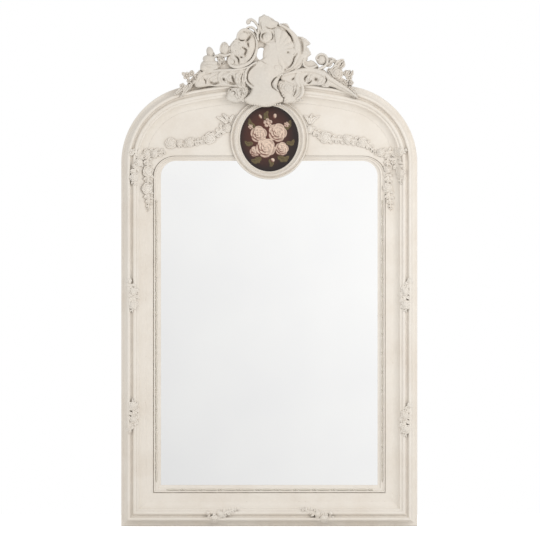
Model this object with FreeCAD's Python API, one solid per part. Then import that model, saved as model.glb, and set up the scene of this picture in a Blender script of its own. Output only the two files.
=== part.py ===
import FreeCAD, Part
import math
import os

# An arched trumeau mirror with a carved crest.
# Millimetres, +Z up, +X to the right. The wall is the plane y = 0 and the front faces -Y,
# so a point that stands h millimetres in front of the wall has y = -h.
# The origin is on the wall, at the middle of the bottom edge.

# ---- Frame outline ----
FRAME_WIDTH = 1100.0
SPRING_HEIGHT = 1350.0        # where the straight sides turn into the arch
SIDE_RADIUS = 288.0           # arch corners
CROWN_RADIUS = 1455.0         # flat middle of the arch
CREST_RISE = 232.0            # crest peak above the arch

# ---- Widths across the frame, from the outer edge inwards ----
MOULDING_WIDTH = 91.0
FRIEZE_WIDTH = 27.0
BOTTOM_FRIEZE_WIDTH = 32.0
SIGHT_WIDTH = 29.0
TOP_SIGHT_WIDTH = 18.0
SIGHT_HEIGHT = 1206.0         # height of the mirror that shows
SIGHT_CORNER_RADIUS = 56.0

# ---- Depths, measured from the back ----
CARCASS_THICKNESS = 26.0
FRIEZE_THICKNESS = 12.0
MOULDING_RISE = 46.0          # top of the highest bead above the carcass
SIGHT_RISE = 16.0
GLASS_THICKNESS = 5.0
BOARD_THICKNESS = 10.0
REBATE_DEPTH = 12.0
REBATE_WIDTH = 16.0

# ---- Fits ----
GLASS_COVER = 10.0            # how far the sight moulding laps over the glass
TOP_GLASS_COVER = 8.0
GLASS_PLAY = 2.0
BOARD_PLAY = 1.0
CARVING_PLAY = 0.3            # between curved pieces that only meet
PEG_PLAY = 0.15

# ---- Corner joints ----
LAP_HEIGHT = 70.0             # halved joint between stile and head board
PEG_RADIUS = 5.0
PEG_SPACING = 46.0

# ---- Bead strips ----
BEAD_RADIUS = 3.5
OLIVE_LENGTH = 52.0
PEARL_PITCH = 9.0
BEAD_OFFSET = 16.5            # strip axis from the sight edge
BEAD_TOP = 1240.0             # the side strips end here
BEAD_FACETS = 6               # flat cuts round half a bead
BEAD_STATIONS = (-1.0, -0.6, 0.0, 0.6, 1.0)

# ---- Medallion ----
MEDALLION_RISE = 82.0         # centre above the top of the mirror that shows
PICTURE_HALF_WIDTH = 109.0
PICTURE_HALF_HEIGHT = 122.0
RING_SIDE_WIDTH = 36.0
RING_END_WIDTH = 29.0
RING_RISE = 30.0
PICTURE_COVER = 6.0           # how far the ring laps over the picture
PICTURE_THICKNESS = 4.0
BACKING_THICKNESS = 7.0

# ---- Crest ----
CREST_BACK = 12.0
BATTEN_WIDTH = 60.0
BATTEN_SHIFT = 24.0            # its middle stands right of the pierced hole
BATTEN_THICKNESS = 12.0
BATTEN_RISE = 130.0
BATTEN_DROP = 150.0
RIM_RADIUS = 6.0
CARVING_DEPTH = 20.0          # low carving in front of the crest block
HIGH_CARVING_DEPTH = 34.0     # scrolls, shell and roses

# ---- Festoons and sprays ----
FESTOON_RISE = 20.0           # how far a rose stands out from its seat
SPRAY_PLINTH = 14.0           # how far a spray reaches down between the beads
STEM_WIDTH = 6.0
SIDE_SPRAY_INSET = 48.0       # from the frame's outer edge
UPPER_SPRAY_HEIGHT = 866.0
LOWER_SPRAY_HEIGHT = 404.0
BOTTOM_SPRAY_X = 204.0

# ---- Hangers ----
HANGER_HEIGHT = 1230.0
RING_WIRE_RADIUS = 3.0
RING_HALF_WIDTH = 22.0
RING_SIDE = 5.0
RING_CORNER_RADIUS = 7.0
RING_BORE_PLAY = 0.3
STRAP_THICKNESS = 2.5
STRAP_WIDTH = 28.0
STRAP_LENGTH = 90.0
EYE_LENGTH = 26.0
RECESS_DEPTH = 12.0
RECESS_WIDTH = 60.0
RECESS_MARGIN = 6.0

# ---- Screws ----
SCREW_RADIUS = 2.0
SCREW_HEAD_RADIUS = 4.0
SCREW_LENGTH = 20.0
HEAD_HEIGHT = 2.5
SCREW_PLAY = 0.15

# ---- Worked out from the sizes above ----
HALF_WIDTH = FRAME_WIDTH / 2
STILE_SIGHT = MOULDING_WIDTH + FRIEZE_WIDTH + SIGHT_WIDTH
SIGHT_HALF_WIDTH = HALF_WIDTH - STILE_SIGHT
SIGHT_BOTTOM = MOULDING_WIDTH + BOTTOM_FRIEZE_WIDTH + SIGHT_WIDTH
SIGHT_TOP = SIGHT_BOTTOM + SIGHT_HEIGHT
CORNER_X = SIGHT_HALF_WIDTH - SIGHT_CORNER_RADIUS
CORNER_Z = SIGHT_TOP - SIGHT_CORNER_RADIUS
SIDE_CENTRE = HALF_WIDTH - SIDE_RADIUS
CENTRE_DISTANCE = CROWN_RADIUS - SIDE_RADIUS
ARCH_TILT = math.asin(SIDE_CENTRE / CENTRE_DISTANCE)
CROWN_CENTRE_Z = SPRING_HEIGHT - CENTRE_DISTANCE * math.cos(ARCH_TILT)
ARCH_TOP = CROWN_CENTRE_Z + CROWN_RADIUS
OPENING_HALF_WIDTH = SIGHT_HALF_WIDTH + GLASS_COVER + GLASS_PLAY
OPENING_BOTTOM = SIGHT_BOTTOM - GLASS_COVER - GLASS_PLAY
OPENING_TOP = SIGHT_TOP + TOP_GLASS_COVER + GLASS_PLAY
FIELD = CARCASS_THICKNESS + FRIEZE_THICKNESS
BEAD_FACE = CARCASS_THICKNESS + MOULDING_RISE
GLASS_BACK = CARCASS_THICKNESS - GLASS_THICKNESS
BOARD_BACK = REBATE_DEPTH - BOARD_THICKNESS
MEDALLION_Z = SIGHT_TOP + MEDALLION_RISE
RING_HALF_HEIGHT = PICTURE_HALF_HEIGHT + RING_END_WIDTH
RING_HALF_BREADTH = PICTURE_HALF_WIDTH + RING_SIDE_WIDTH
CARVING_FACE = BEAD_FACE + CARVING_DEPTH
HANGER_X = (HALF_WIDTH + OPENING_HALF_WIDTH) / 2
EYE_RADIUS = RING_WIRE_RADIUS + RING_BORE_PLAY + STRAP_THICKNESS
RING_AXIS_DEPTH = RECESS_DEPTH - EYE_RADIUS
RING_DROP = RING_CORNER_RADIUS + RING_SIDE + RING_HALF_WIDTH + RING_WIRE_RADIUS

FRONT = FreeCAD.Vector(0, -1, 0)
UP = FreeCAD.Vector(0, 0, 1)
RIGHT = FreeCAD.Vector(1, 0, 0)
INTO_WALL = FreeCAD.Vector(0, 1, 0)


# ---- Drawing helpers ----
def at(x, z, h=0.0):
    """The point x to the right, z up and h in front of the wall."""
    return FreeCAD.Vector(x, -h, z)


def loop(place, *steps):
    """A closed wire: a step of two numbers is a corner, one of four is an arc through its first pair."""
    edges = []
    start = place(*steps[0])
    here = start
    for step in steps[1:] + (steps[0],):
        end = place(*step[-2:])
        if len(step) == 4:
            edges.append(Part.Arc(here, place(*step[:2]), end).toShape())
        elif (end - here).Length > 1e-6:
            edges.append(Part.LineSegment(here, end).toShape())
        here = end
    return Part.Wire(edges)


def slab(wire, back, front):
    """The outline of wire, drawn on the wall, as a solid from depth back to depth front."""
    face = Part.Face(wire)
    face.translate(at(0, 0, back))
    return face.extrude(FRONT * (front - back))


def block(x0, x1, z0, z1, back, front):
    return Part.makeBox(x1 - x0, front - back, z1 - z0, at(x0, z0, front))


def dowel(x, z, radius, back, front):
    return Part.makeCylinder(radius, front - back, at(x, z, back), FRONT)


def oval(x, z, half_width, half_height, h=0.0):
    """A closed wire round an ellipse."""
    circle = Part.Circle(at(0, 0), FRONT, 1.0).toShape()
    stretch = FreeCAD.Matrix()
    stretch.scale(half_width, 1.0, half_height)
    wire = Part.Wire(circle.transformGeometry(stretch).Edges)
    wire.translate(at(x, z, h))
    return wire


def join(shapes):
    """One shape of all the given ones, cleaned of inner edges."""
    whole = shapes[0].multiFuse(shapes[1:]) if len(shapes) > 1 else shapes[0]
    return whole.removeSplitter()


def mirror(shape):
    return shape.mirror(at(0, 0), RIGHT)


def without(shape, *tools):
    for tool in tools:
        shape = shape.cut(tool)
    return shape


def largest(shape):
    """The main solid, without the crumbs that a cut leaves."""
    return max(shape.Solids, key=lambda solid: solid.Volume)


def save(name, shape):
    """Writes one node: all the solids of the shape, which must be sound."""
    solids = shape.Solids
    whole = solids[0] if len(solids) == 1 else Part.makeCompound(solids)
    print(name, len(solids), whole.isValid(), round(whole.Volume / 1000.0, 1))
    whole.exportStep("parts/" + name + ".step")


# ---- Outline of the frame ----
def arch_outline(inset, foot):
    """The frame's outline drawn in by inset, with its foot at a height."""
    half = HALF_WIDTH - inset
    side = SIDE_RADIUS - inset
    crown = CROWN_CENTRE_Z + CROWN_RADIUS - inset
    turn_x = SIDE_CENTRE + side * math.sin(ARCH_TILT)
    turn_z = SPRING_HEIGHT + side * math.cos(ARCH_TILT)
    halfway = (math.pi / 2 + ARCH_TILT) / 2
    mid_x = SIDE_CENTRE + side * math.sin(halfway)
    mid_z = SPRING_HEIGHT + side * math.cos(halfway)
    return loop(at, (half, foot), (half, SPRING_HEIGHT), (mid_x, mid_z, turn_x, turn_z),
                (0, crown, -turn_x, turn_z), (-mid_x, mid_z, -half, SPRING_HEIGHT), (-half, foot))


def sight_outline(side, top, foot):
    """The mirror's visible outline grown by side and top, with its rounded upper corners."""
    half = SIGHT_HALF_WIDTH + side
    wide = SIGHT_CORNER_RADIUS + side
    high = SIGHT_CORNER_RADIUS + top
    arc = Part.Arc(at(-1, 0), at(-math.sqrt(0.5), math.sqrt(0.5)), at(0, 1)).toShape()
    stretch = FreeCAD.Matrix()
    stretch.scale(wide, 1.0, high)
    left = arc.transformGeometry(stretch).Edges[0]
    left.translate(at(-CORNER_X, CORNER_Z))
    right = left.mirror(at(0, 0), RIGHT)
    crown = CORNER_Z + high
    straight = [((-half, foot), (-half, CORNER_Z)), ((-CORNER_X, crown), (CORNER_X, crown)),
                ((half, CORNER_Z), (half, foot)), ((half, foot), (-half, foot))]
    lines = [Part.LineSegment(at(*a), at(*b)).toShape() for a, b in straight]
    return Part.Wire(Part.__sortEdges__(lines + [left, right]))


def ring_bore(grow):
    """The solid that the medallion ring fills, with grow of room all round it."""
    wire = oval(0, MEDALLION_Z, RING_HALF_BREADTH + grow, RING_HALF_HEIGHT + grow)
    return slab(wire, CARCASS_THICKNESS, CARCASS_THICKNESS + 2 * MOULDING_RISE)


# ---- Carcass ----
def head_lap():
    """Front halves of the stiles' upper ends, which the head board fills."""
    top = OPENING_TOP + LAP_HEIGHT
    return block(-HALF_WIDTH, HALF_WIDTH, OPENING_TOP, top, CARCASS_THICKNESS / 2, CARCASS_THICKNESS)


def peg_places():
    """Two pegs across each halved joint."""
    half = PEG_SPACING / 2
    middle = (HALF_WIDTH + OPENING_HALF_WIDTH) / 2
    places = []
    for side in (-1, 1):
        for z in (OPENING_BOTTOM / 2, OPENING_TOP + LAP_HEIGHT / 2):
            places.append((side * middle - half, z))
            places.append((side * middle + half, z))
    return places


def pegs(grow):
    radius = PEG_RADIUS + grow
    return [dowel(x, z, radius, 0, CARCASS_THICKNESS) for x, z in peg_places()]


def rebate():
    """The step round the back of the opening that takes the backboards."""
    half = OPENING_HALF_WIDTH + REBATE_WIDTH
    return block(-half, half, OPENING_BOTTOM - REBATE_WIDTH, OPENING_TOP + REBATE_WIDTH, 0, REBATE_DEPTH)


def stile_left():
    silhouette = slab(arch_outline(0, 0), 0, CARCASS_THICKNESS)
    zone = block(-HALF_WIDTH, -OPENING_HALF_WIDTH, 0, OPENING_TOP + LAP_HEIGHT, 0, CARCASS_THICKNESS)
    half = CARCASS_THICKNESS / 2
    foot = block(-HALF_WIDTH, 0, 0, OPENING_BOTTOM, half, CARCASS_THICKNESS)
    stile = silhouette.common(zone)
    return without(stile, foot, head_lap(), rebate(), hanger_recess(), *(pegs(PEG_PLAY) + screw_holes()))


def bottom_rail():
    rail = block(-HALF_WIDTH, HALF_WIDTH, 0, OPENING_BOTTOM, 0, CARCASS_THICKNESS)
    lap = block(OPENING_HALF_WIDTH, HALF_WIDTH, 0, OPENING_BOTTOM, 0, CARCASS_THICKNESS / 2)
    return without(rail, lap, mirror(lap), rebate(), *(pegs(PEG_PLAY) + screw_holes()))


def head_board():
    silhouette = slab(arch_outline(0, 0), 0, CARCASS_THICKNESS)
    zone = block(-HALF_WIDTH, HALF_WIDTH, OPENING_TOP, ARCH_TOP, 0, CARCASS_THICKNESS)
    half = CARCASS_THICKNESS / 2
    lap = block(OPENING_HALF_WIDTH, HALF_WIDTH, OPENING_TOP, OPENING_TOP + LAP_HEIGHT, 0, half)
    board = silhouette.common(zone)
    cuts = [lap, mirror(lap), rebate(), batten()] + pegs(PEG_PLAY) + screw_holes()
    return without(board, *cuts)


# ---- Outer moulding ----
def moulding_profile(place):
    """Section of the outer moulding; place turns a distance from the edge and a height into a point."""
    w = MOULDING_WIDTH
    base = CARCASS_THICKNESS
    top = BEAD_FACE
    field = FIELD
    band = top - 6
    return loop(place, (0, base), (0, field + 4), (1, field + 6, 3, field + 7), (10, field + 7),
                (17, field + 12, 22, band - 5), (22, top - 7), (28, top, 34, top - 7), (34, band - 3),
                (39, band - 7, 44, band - 3), (44, band - 1), (50.5, band + 2, 57, band - 2), (57, band - 4),
                (65, band - 5), (w - 17, field + 8.5, w, field), (w, base))


def along_side(d, h):
    return at(-HALF_WIDTH + d, 0, h)


def along_bottom(d, h):
    return at(-HALF_WIDTH, d, h)


def left_mitre(inner, top):
    """The part of the left side, out to inner, that lies above its mitre line."""
    edge = -HALF_WIDTH
    outline = loop(at, (edge, 0), (edge, top), (edge + inner, top), (edge + inner, inner))
    return slab(outline, 0, 2 * BEAD_FACE)


def moulding_left():
    bar = Part.Face(moulding_profile(along_side)).extrude(UP * SPRING_HEIGHT)
    return bar.common(left_mitre(MOULDING_WIDTH, SPRING_HEIGHT))


def moulding_bottom():
    bar = Part.Face(moulding_profile(along_bottom)).extrude(RIGHT * FRAME_WIDTH)
    inner = HALF_WIDTH - MOULDING_WIDTH
    outline = loop(at, (-HALF_WIDTH, 0), (HALF_WIDTH, 0), (inner, MOULDING_WIDTH), (-inner, MOULDING_WIDTH))
    return bar.common(slab(outline, 0, 2 * BEAD_FACE))


def moulding_arch_left():
    def radial(d, h):
        return at(-HALF_WIDTH + d, SPRING_HEIGHT, h)

    sweep = 90 - math.degrees(ARCH_TILT)
    face = Part.Face(moulding_profile(radial))
    return face.revolve(at(-SIDE_CENTRE, SPRING_HEIGHT), INTO_WALL, sweep)


def moulding_arch_crown():
    def radial(d, h):
        return at(0, CROWN_CENTRE_Z + CROWN_RADIUS - d, h)

    tilt = math.degrees(ARCH_TILT)
    face = Part.Face(moulding_profile(radial))
    centre = at(0, CROWN_CENTRE_Z)
    face.rotate(centre, INTO_WALL, -tilt)
    return face.revolve(centre, INTO_WALL, 2 * tilt).cut(ring_bore(CARVING_PLAY))


# ---- Frieze and spandrel ----
def frieze_left():
    """A plain strip beside the moulding, mitred at its foot."""
    outer = -HALF_WIDTH + MOULDING_WIDTH
    inner = outer + FRIEZE_WIDTH
    foot = MOULDING_WIDTH + BOTTOM_FRIEZE_WIDTH
    outline = loop(at, (outer, MOULDING_WIDTH), (outer, CORNER_Z), (inner, CORNER_Z), (inner, foot))
    return slab(outline, CARCASS_THICKNESS, FIELD)


def frieze_bottom():
    outer = HALF_WIDTH - MOULDING_WIDTH
    inner = outer - FRIEZE_WIDTH
    top = MOULDING_WIDTH + BOTTOM_FRIEZE_WIDTH
    outline = loop(at, (-outer, MOULDING_WIDTH), (outer, MOULDING_WIDTH), (inner, top), (-inner, top))
    return slab(outline, CARCASS_THICKNESS, FIELD)


def spandrel_left():
    """The field inside the arch, left of the medallion and down to where the frieze starts."""
    panel = slab(arch_outline(MOULDING_WIDTH + CARVING_PLAY, CORNER_Z), CARCASS_THICKNESS, FIELD)
    panel = panel.common(block(-HALF_WIDTH, 0, 0, ARCH_TOP, 0, BEAD_FACE))
    sight = slab(sight_outline(SIGHT_WIDTH, TOP_SIGHT_WIDTH, SIGHT_BOTTOM), 0, BEAD_FACE)
    corner = sight_outline(SIGHT_WIDTH + CARVING_PLAY, TOP_SIGHT_WIDTH + CARVING_PLAY, SIGHT_BOTTOM)
    return without(panel, sight, slab(corner, 0, BEAD_FACE), ring_bore(CARVING_PLAY))


# ---- Sight moulding ----
def sight_profile(place):
    """Section of the sight moulding: a lip, a flat seat for the beads, a fillet bead and a quirk."""
    base = CARCASS_THICKNESS
    seat = FIELD
    w = SIGHT_WIDTH
    return loop(place, (0, base), (0, base + 4), (7, base + 6, 12, seat), (w - 8.5, seat),
                (w - 5.75, base + SIGHT_RISE, w - 3, seat), (w - 2.5, seat - 4), (w, seat - 4), (w, base))


def sight_left():
    def across(u, h):
        return at(-SIGHT_HALF_WIDTH - u, 0, h)

    bar = Part.Face(sight_profile(across)).extrude(UP * CORNER_Z)
    inner = STILE_SIGHT
    outer = STILE_SIGHT - SIGHT_WIDTH
    edge = -HALF_WIDTH
    foot = SIGHT_BOTTOM - SIGHT_WIDTH
    outline = loop(at, (edge + outer, foot), (edge + outer, CORNER_Z), (edge + inner, CORNER_Z),
                   (edge + inner, SIGHT_BOTTOM))
    return bar.common(slab(outline, 0, BEAD_FACE))


def sight_bottom():
    def across(u, h):
        return at(-HALF_WIDTH, SIGHT_BOTTOM - u, h)

    bar = Part.Face(sight_profile(across)).extrude(RIGHT * FRAME_WIDTH)
    inner = SIGHT_HALF_WIDTH
    outer = inner + SIGHT_WIDTH
    foot = SIGHT_BOTTOM - SIGHT_WIDTH
    outline = loop(at, (-outer, foot), (outer, foot), (inner, SIGHT_BOTTOM), (-inner, SIGHT_BOTTOM))
    return bar.common(slab(outline, 0, BEAD_FACE))


def sight_top_left():
    """The rounded corner, which narrows towards the top, and the straight piece up to the medallion."""
    sections = []
    for degrees in range(0, 91, 15):
        turn = math.radians(degrees)

        def across(u, h):
            share = u / SIGHT_WIDTH
            wide = SIGHT_CORNER_RADIUS + share * SIGHT_WIDTH
            high = SIGHT_CORNER_RADIUS + share * TOP_SIGHT_WIDTH
            return at(-CORNER_X - wide * math.cos(turn), CORNER_Z + high * math.sin(turn), h)

        sections.append(sight_profile(across))
    corner = Part.makeLoft(sections, True, False)
    straight = Part.Face(sections[-1]).extrude(RIGHT * CORNER_X)
    return join([corner, straight]).cut(ring_bore(CARVING_PLAY))


# ---- Bead strips ----
def bead_strip(length, place):
    """A strip of olives and pairs of pearls with a flat back, its beads cut in facets."""
    pitch = OLIVE_LENGTH + 2 * PEARL_PITCH
    count = int(length / pitch)
    gap = (PEARL_PITCH - 2 * BEAD_RADIUS) / 2
    neck = BEAD_RADIUS / 3
    rings = []
    for k in range(count):
        s = (length - count * pitch) / 2 + k * pitch
        beads = [(s, OLIVE_LENGTH)]
        beads += [(s + OLIVE_LENGTH + pearl * PEARL_PITCH, PEARL_PITCH) for pearl in range(2)]
        for start, span in beads:
            half = span / 2 - gap
            for share in BEAD_STATIONS:
                radius = max(neck, BEAD_RADIUS * math.sqrt(1 - share ** 2))
                ring = [place(start + span / 2 + share * half, radius * math.cos(math.pi * j / BEAD_FACETS),
                              radius * math.sin(math.pi * j / BEAD_FACETS)) for j in range(BEAD_FACETS + 1)]
                rings.append(ring)
    corners = [rings[0], rings[-1], [ring[0] for ring in rings] + [ring[-1] for ring in reversed(rings)]]
    for near, far in zip(rings, rings[1:]):
        corners += [[near[j], far[j], far[j + 1], near[j + 1]] for j in range(BEAD_FACETS)]
    faces = [Part.Face(Part.makePolygon(corner + corner[:1])) for corner in corners]
    solid = Part.makeSolid(Part.makeShell(faces))
    return solid if solid.Volume > 0 else solid.reversed()


def pearls_left():
    x = -SIGHT_HALF_WIDTH - BEAD_OFFSET
    foot = SIGHT_BOTTOM - BEAD_OFFSET - BEAD_RADIUS

    def place(s, across, rise):
        return at(x - across, foot + s, FIELD + rise)

    return bead_strip(BEAD_TOP - foot, place)


def pearls_bottom():
    z = SIGHT_BOTTOM - BEAD_OFFSET
    half = SIGHT_HALF_WIDTH + BEAD_OFFSET - BEAD_RADIUS - CARVING_PLAY

    def place(s, across, rise):
        return at(-half + s, z + across, FIELD + rise)

    return bead_strip(2 * half, place)


# ---- Glazing ----
def mirror_plate():
    half = SIGHT_HALF_WIDTH + GLASS_COVER
    foot = SIGHT_BOTTOM - GLASS_COVER
    return block(-half, half, foot, SIGHT_TOP + TOP_GLASS_COVER, GLASS_BACK, CARCASS_THICKNESS)


def setting_blocks():
    """Two blocks under the glass, on the bottom rail."""
    x = SIGHT_HALF_WIDTH / 2
    length = 60.0
    pair = [block(s * x - length / 2, s * x + length / 2, OPENING_BOTTOM, SIGHT_BOTTOM - GLASS_COVER,
                  GLASS_BACK, CARCASS_THICKNESS) for s in (-1, 1)]
    return Part.makeCompound(pair)


def glazing_pads():
    """Felt pads that hold the glass forward from the backboards."""
    half = SIGHT_HALF_WIDTH
    pad = 20.0
    rows = [SIGHT_BOTTOM + SIGHT_HEIGHT * share for share in (0.08, 0.36, 0.64, 0.92)]
    pads = []
    for z in rows:
        for x in (-half, half - pad):
            pads.append(block(x, x + pad, z - pad, z + pad, REBATE_DEPTH, GLASS_BACK))
    return Part.makeCompound(pads)


def board_edges():
    """Heights of the joints between the three backboards."""
    low = OPENING_BOTTOM - REBATE_WIDTH + BOARD_PLAY
    high = OPENING_TOP + REBATE_WIDTH - BOARD_PLAY
    return [low + k * (high - low) / 3 for k in range(4)]


def backboard(k):
    edges = board_edges()
    half = OPENING_HALF_WIDTH + REBATE_WIDTH - BOARD_PLAY
    gap = 0 if k == 2 else BOARD_PLAY
    board = block(-half, half, edges[k], edges[k + 1] - gap, BOARD_BACK, REBATE_DEPTH)
    return without(board, *screw_holes())


# ---- Screws ----
def board_screws():
    """Two screws at each end of each backboard."""
    x = OPENING_HALF_WIDTH + REBATE_WIDTH / 2
    edges = board_edges()
    places = []
    for k in range(3):
        third = (edges[k + 1] - edges[k]) / 4
        for z in (edges[k] + third, edges[k + 1] - third):
            places += [(-x, z, BOARD_BACK), (x, z, BOARD_BACK)]
    return places


def batten_screws():
    x = BATTEN_WIDTH / 4
    rows = [ARCH_TOP - BATTEN_DROP * 0.75, ARCH_TOP - BATTEN_DROP * 0.35, ARCH_TOP + BATTEN_RISE * 0.35,
            ARCH_TOP + BATTEN_RISE * 0.75]
    return [(BATTEN_SHIFT + s * x, z, 0) for z in rows for s in (-1, 1)]


def strap_screws():
    rows = [HANGER_HEIGHT - STRAP_LENGTH * share for share in (0.52, 0.72, 0.92)]
    face = RECESS_DEPTH - STRAP_THICKNESS
    return [(s * HANGER_X, z, face) for z in rows for s in (-1, 1)]


def screw(x, z, back, grow, sunk):
    """A screw driven from behind; a sunk head is level with the face, any other stands on it."""
    shank = dowel(x, z, SCREW_RADIUS + grow, back, back + SCREW_LENGTH - 6)
    if sunk:
        radius = SCREW_HEAD_RADIUS + grow
        head = Part.makeCone(radius, SCREW_RADIUS + grow, HEAD_HEIGHT, at(x, z, back), FRONT)
    else:
        head = dowel(x, z, SCREW_HEAD_RADIUS + grow, back - HEAD_HEIGHT, back)
    return head.fuse(shank)


def screws(grow=0.0):
    sunk = [screw(x, z, back, grow, True) for x, z, back in board_screws() + batten_screws()]
    proud = [screw(x, z, back, grow, False) for x, z, back in strap_screws()]
    return sunk + proud


def screw_holes():
    return screws(SCREW_PLAY)


# ---- Medallion ----
def medallion_ring():
    """An oval moulding: each step of its section is an oval, share of the way from picture to outer edge."""
    base = CARCASS_THICKNESS
    rise = RING_RISE
    section = [(1.0, 0.0), (1.0, 0.62), (0.97, 0.74), (0.9, 0.8), (0.83, 0.74), (0.8, 0.6), (0.72, 0.58),
               (0.64, 0.72), (0.55, 0.9), (0.45, 1.0), (0.36, 0.9), (0.33, 0.72), (0.2, 0.56), (0.14, 0.6),
               (0.07, 0.62), (0.0, 0.52)]
    wires = []
    for share, height in section:
        half_width = PICTURE_HALF_WIDTH + share * RING_SIDE_WIDTH
        half_height = PICTURE_HALF_HEIGHT + share * RING_END_WIDTH
        wires.append(oval(0, MEDALLION_Z, half_width, half_height, base + rise * height))
    dish = Part.makeLoft(wires, True, True)
    window = slab(oval(0, MEDALLION_Z, PICTURE_HALF_WIDTH, PICTURE_HALF_HEIGHT), 0, 2 * BEAD_FACE)
    seat = picture_seat(CARVING_PLAY)
    return without(dish, window, seat)


def picture_seat(grow):
    """The rebate behind the ring's inner lip."""
    wire = oval(0, MEDALLION_Z, PICTURE_HALF_WIDTH + PICTURE_COVER + grow,
                PICTURE_HALF_HEIGHT + PICTURE_COVER + grow)
    return slab(wire, 0, CARCASS_THICKNESS + BACKING_THICKNESS + PICTURE_THICKNESS)


def picture_layer(back, thickness):
    wire = oval(0, MEDALLION_Z, PICTURE_HALF_WIDTH + PICTURE_COVER, PICTURE_HALF_HEIGHT + PICTURE_COVER)
    return slab(wire, back, back + thickness)


# ---- Hangers ----
def hanger_recess():
    """Pockets in the backs of both stiles that take the straps and let the rings swing over."""
    half = RECESS_WIDTH / 2
    low = HANGER_HEIGHT - STRAP_LENGTH - RECESS_MARGIN
    high = HANGER_HEIGHT + RING_DROP + RECESS_MARGIN
    pocket = block(-HANGER_X - half, -HANGER_X + half, low, high, 0, RECESS_DEPTH)
    return pocket.fuse(mirror(pocket))


def hanger_strap_left():
    """A steel strap whose upper end is rolled round the ring's bar."""
    half = STRAP_WIDTH / 2
    plate = block(-HANGER_X - half, -HANGER_X + half, HANGER_HEIGHT - STRAP_LENGTH, HANGER_HEIGHT,
                  RECESS_DEPTH - STRAP_THICKNESS, RECESS_DEPTH)
    start = at(-HANGER_X - EYE_LENGTH / 2, HANGER_HEIGHT, RING_AXIS_DEPTH)
    roll = Part.makeCylinder(EYE_RADIUS, EYE_LENGTH, start, RIGHT)
    bore = Part.makeCylinder(RING_WIRE_RADIUS + RING_BORE_PLAY, EYE_LENGTH, start, RIGHT)
    return without(join([plate, roll]), bore, *screw_holes())


def hanger_ring_left():
    """A D-shaped wire ring that hangs down from its straight bar."""
    corner = RING_CORNER_RADIUS
    half = RING_HALF_WIDTH
    bar = half - corner
    cut = corner * (1 - math.sqrt(0.5))
    low = corner + RING_SIDE

    def place(x, z):
        return at(-HANGER_X + x, HANGER_HEIGHT + z, RING_AXIS_DEPTH)

    path = loop(place, (-bar, 0), (bar, 0), (half - cut, -cut, half, -corner), (half, -low),
                (0, -low - half, -half, -low), (-half, -corner), (-half + cut, -cut, -bar, 0))
    wire = Part.Wire(Part.Circle(place(-bar, 0), RIGHT, RING_WIRE_RADIUS).toShape())
    return path.makePipeShell([wire], True, True)


# ---- Carved ornament: every piece has a flat back and grows out of a face at depth back ----
def lobes(x, z, radius, count, turn):
    """A closed outline of round lobes about a point."""
    def polar(share, k):
        angle = turn + 2 * math.pi * k / count
        return x + share * radius * math.cos(angle), z + share * radius * math.sin(angle)

    steps = [polar(0.78, 0)]
    for k in range(count):
        steps.append(polar(1.0, k + 0.5) + polar(0.78, k + 1))
    return loop(at, *steps)


def rose(x, z, radius, back, rise, plinth):
    """Three tiers of petals, each smaller and higher than the last; the plinth reaches behind the face."""
    tiers = [(1.0, 5, 0.0, 0.45, plinth), (0.7, 5, 0.6, 0.75, 0), (0.4, 3, 0.2, 1.0, 0)]
    return join([slab(lobes(x, z, radius * share, count, turn), back - deep, back + rise * height)
                 for share, count, turn, height, deep in tiers])


def dome(x, z, radius, back, rise):
    """A round boss, the cap of a ball."""
    ball = (radius ** 2 + rise ** 2) / (2 * rise)
    halfway = math.asin(radius / ball) / 2
    middle = (ball * math.sin(halfway), rise - ball + ball * math.cos(halfway))

    def place(r, h):
        return at(x + r, z, back + h)

    section = loop(place, (0, 0), (radius, 0), middle + (0, rise))
    return Part.Face(section).revolve(at(x, z), INTO_WALL, 360)


def leaf(x, z, angle, length, width, back, rise, plinth):
    """A pointed leaf with sloping sides, from its stalk to its tip."""
    turn = math.radians(angle)
    half = width / 2

    def blade(share, h):
        def place(along, across):
            u = length / 2 + (along - length / 2) * share
            v = across * share
            return at(x + u * math.cos(turn) - v * math.sin(turn), z + u * math.sin(turn) + v * math.cos(turn), h)
        return loop(place, (0, 0), (length / 2, half, length, 0), (length / 2, -half, 0, 0))

    sections = [blade(1.0, back - plinth), blade(1.0, back + 1.0), blade(0.5, back + rise)]
    return Part.makeLoft(sections, True, True)


def stem(x0, z0, x1, z1, back):
    """A bowed twig between two points of the face at depth back."""
    bow = 0.1
    mid = ((x0 + x1) / 2 - (z1 - z0) * bow, (z0 + z1) / 2 + (x1 - x0) * bow)
    length = math.hypot(x1 - x0, z1 - z0)
    side = (-(z1 - z0) / length * STEM_WIDTH / 2, (x1 - x0) / length * STEM_WIDTH / 2)

    def left(x, z):
        return x + side[0], z + side[1]

    def right(x, z):
        return x - side[0], z - side[1]

    outline = loop(at, left(x0, z0), left(*mid) + left(x1, z1), right(x1, z1), right(*mid) + right(x0, z0))
    return slab(outline, back, back + STEM_WIDTH)


def scroll(x, z, heading, turns, radius, depth):
    """A round bead that runs on from a point: each turn is a radius and an angle, positive to the left."""
    here = at(x, z, depth)
    angle = math.radians(heading)
    edges = []
    for bend, degrees in turns:
        sign = math.copysign(1, degrees)
        centre = here + at(-math.sin(angle), math.cos(angle)) * (sign * bend)
        spokes = [here - centre]
        for share in (0.5, 1.0):
            spoke = FreeCAD.Rotation(FRONT, degrees * share).multVec(here - centre)
            spokes.append(spoke)
        edges.append(Part.Arc(here, centre + spokes[1], centre + spokes[2]).toShape())
        here = centre + spokes[2]
        angle += math.radians(degrees)
    start = at(x, z, depth)
    ahead = at(math.cos(math.radians(heading)), math.sin(math.radians(heading)))
    wire = Part.Wire(Part.Circle(start, ahead, radius).toShape())
    return Part.Wire(edges).makePipeShell([wire], True, True)


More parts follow.
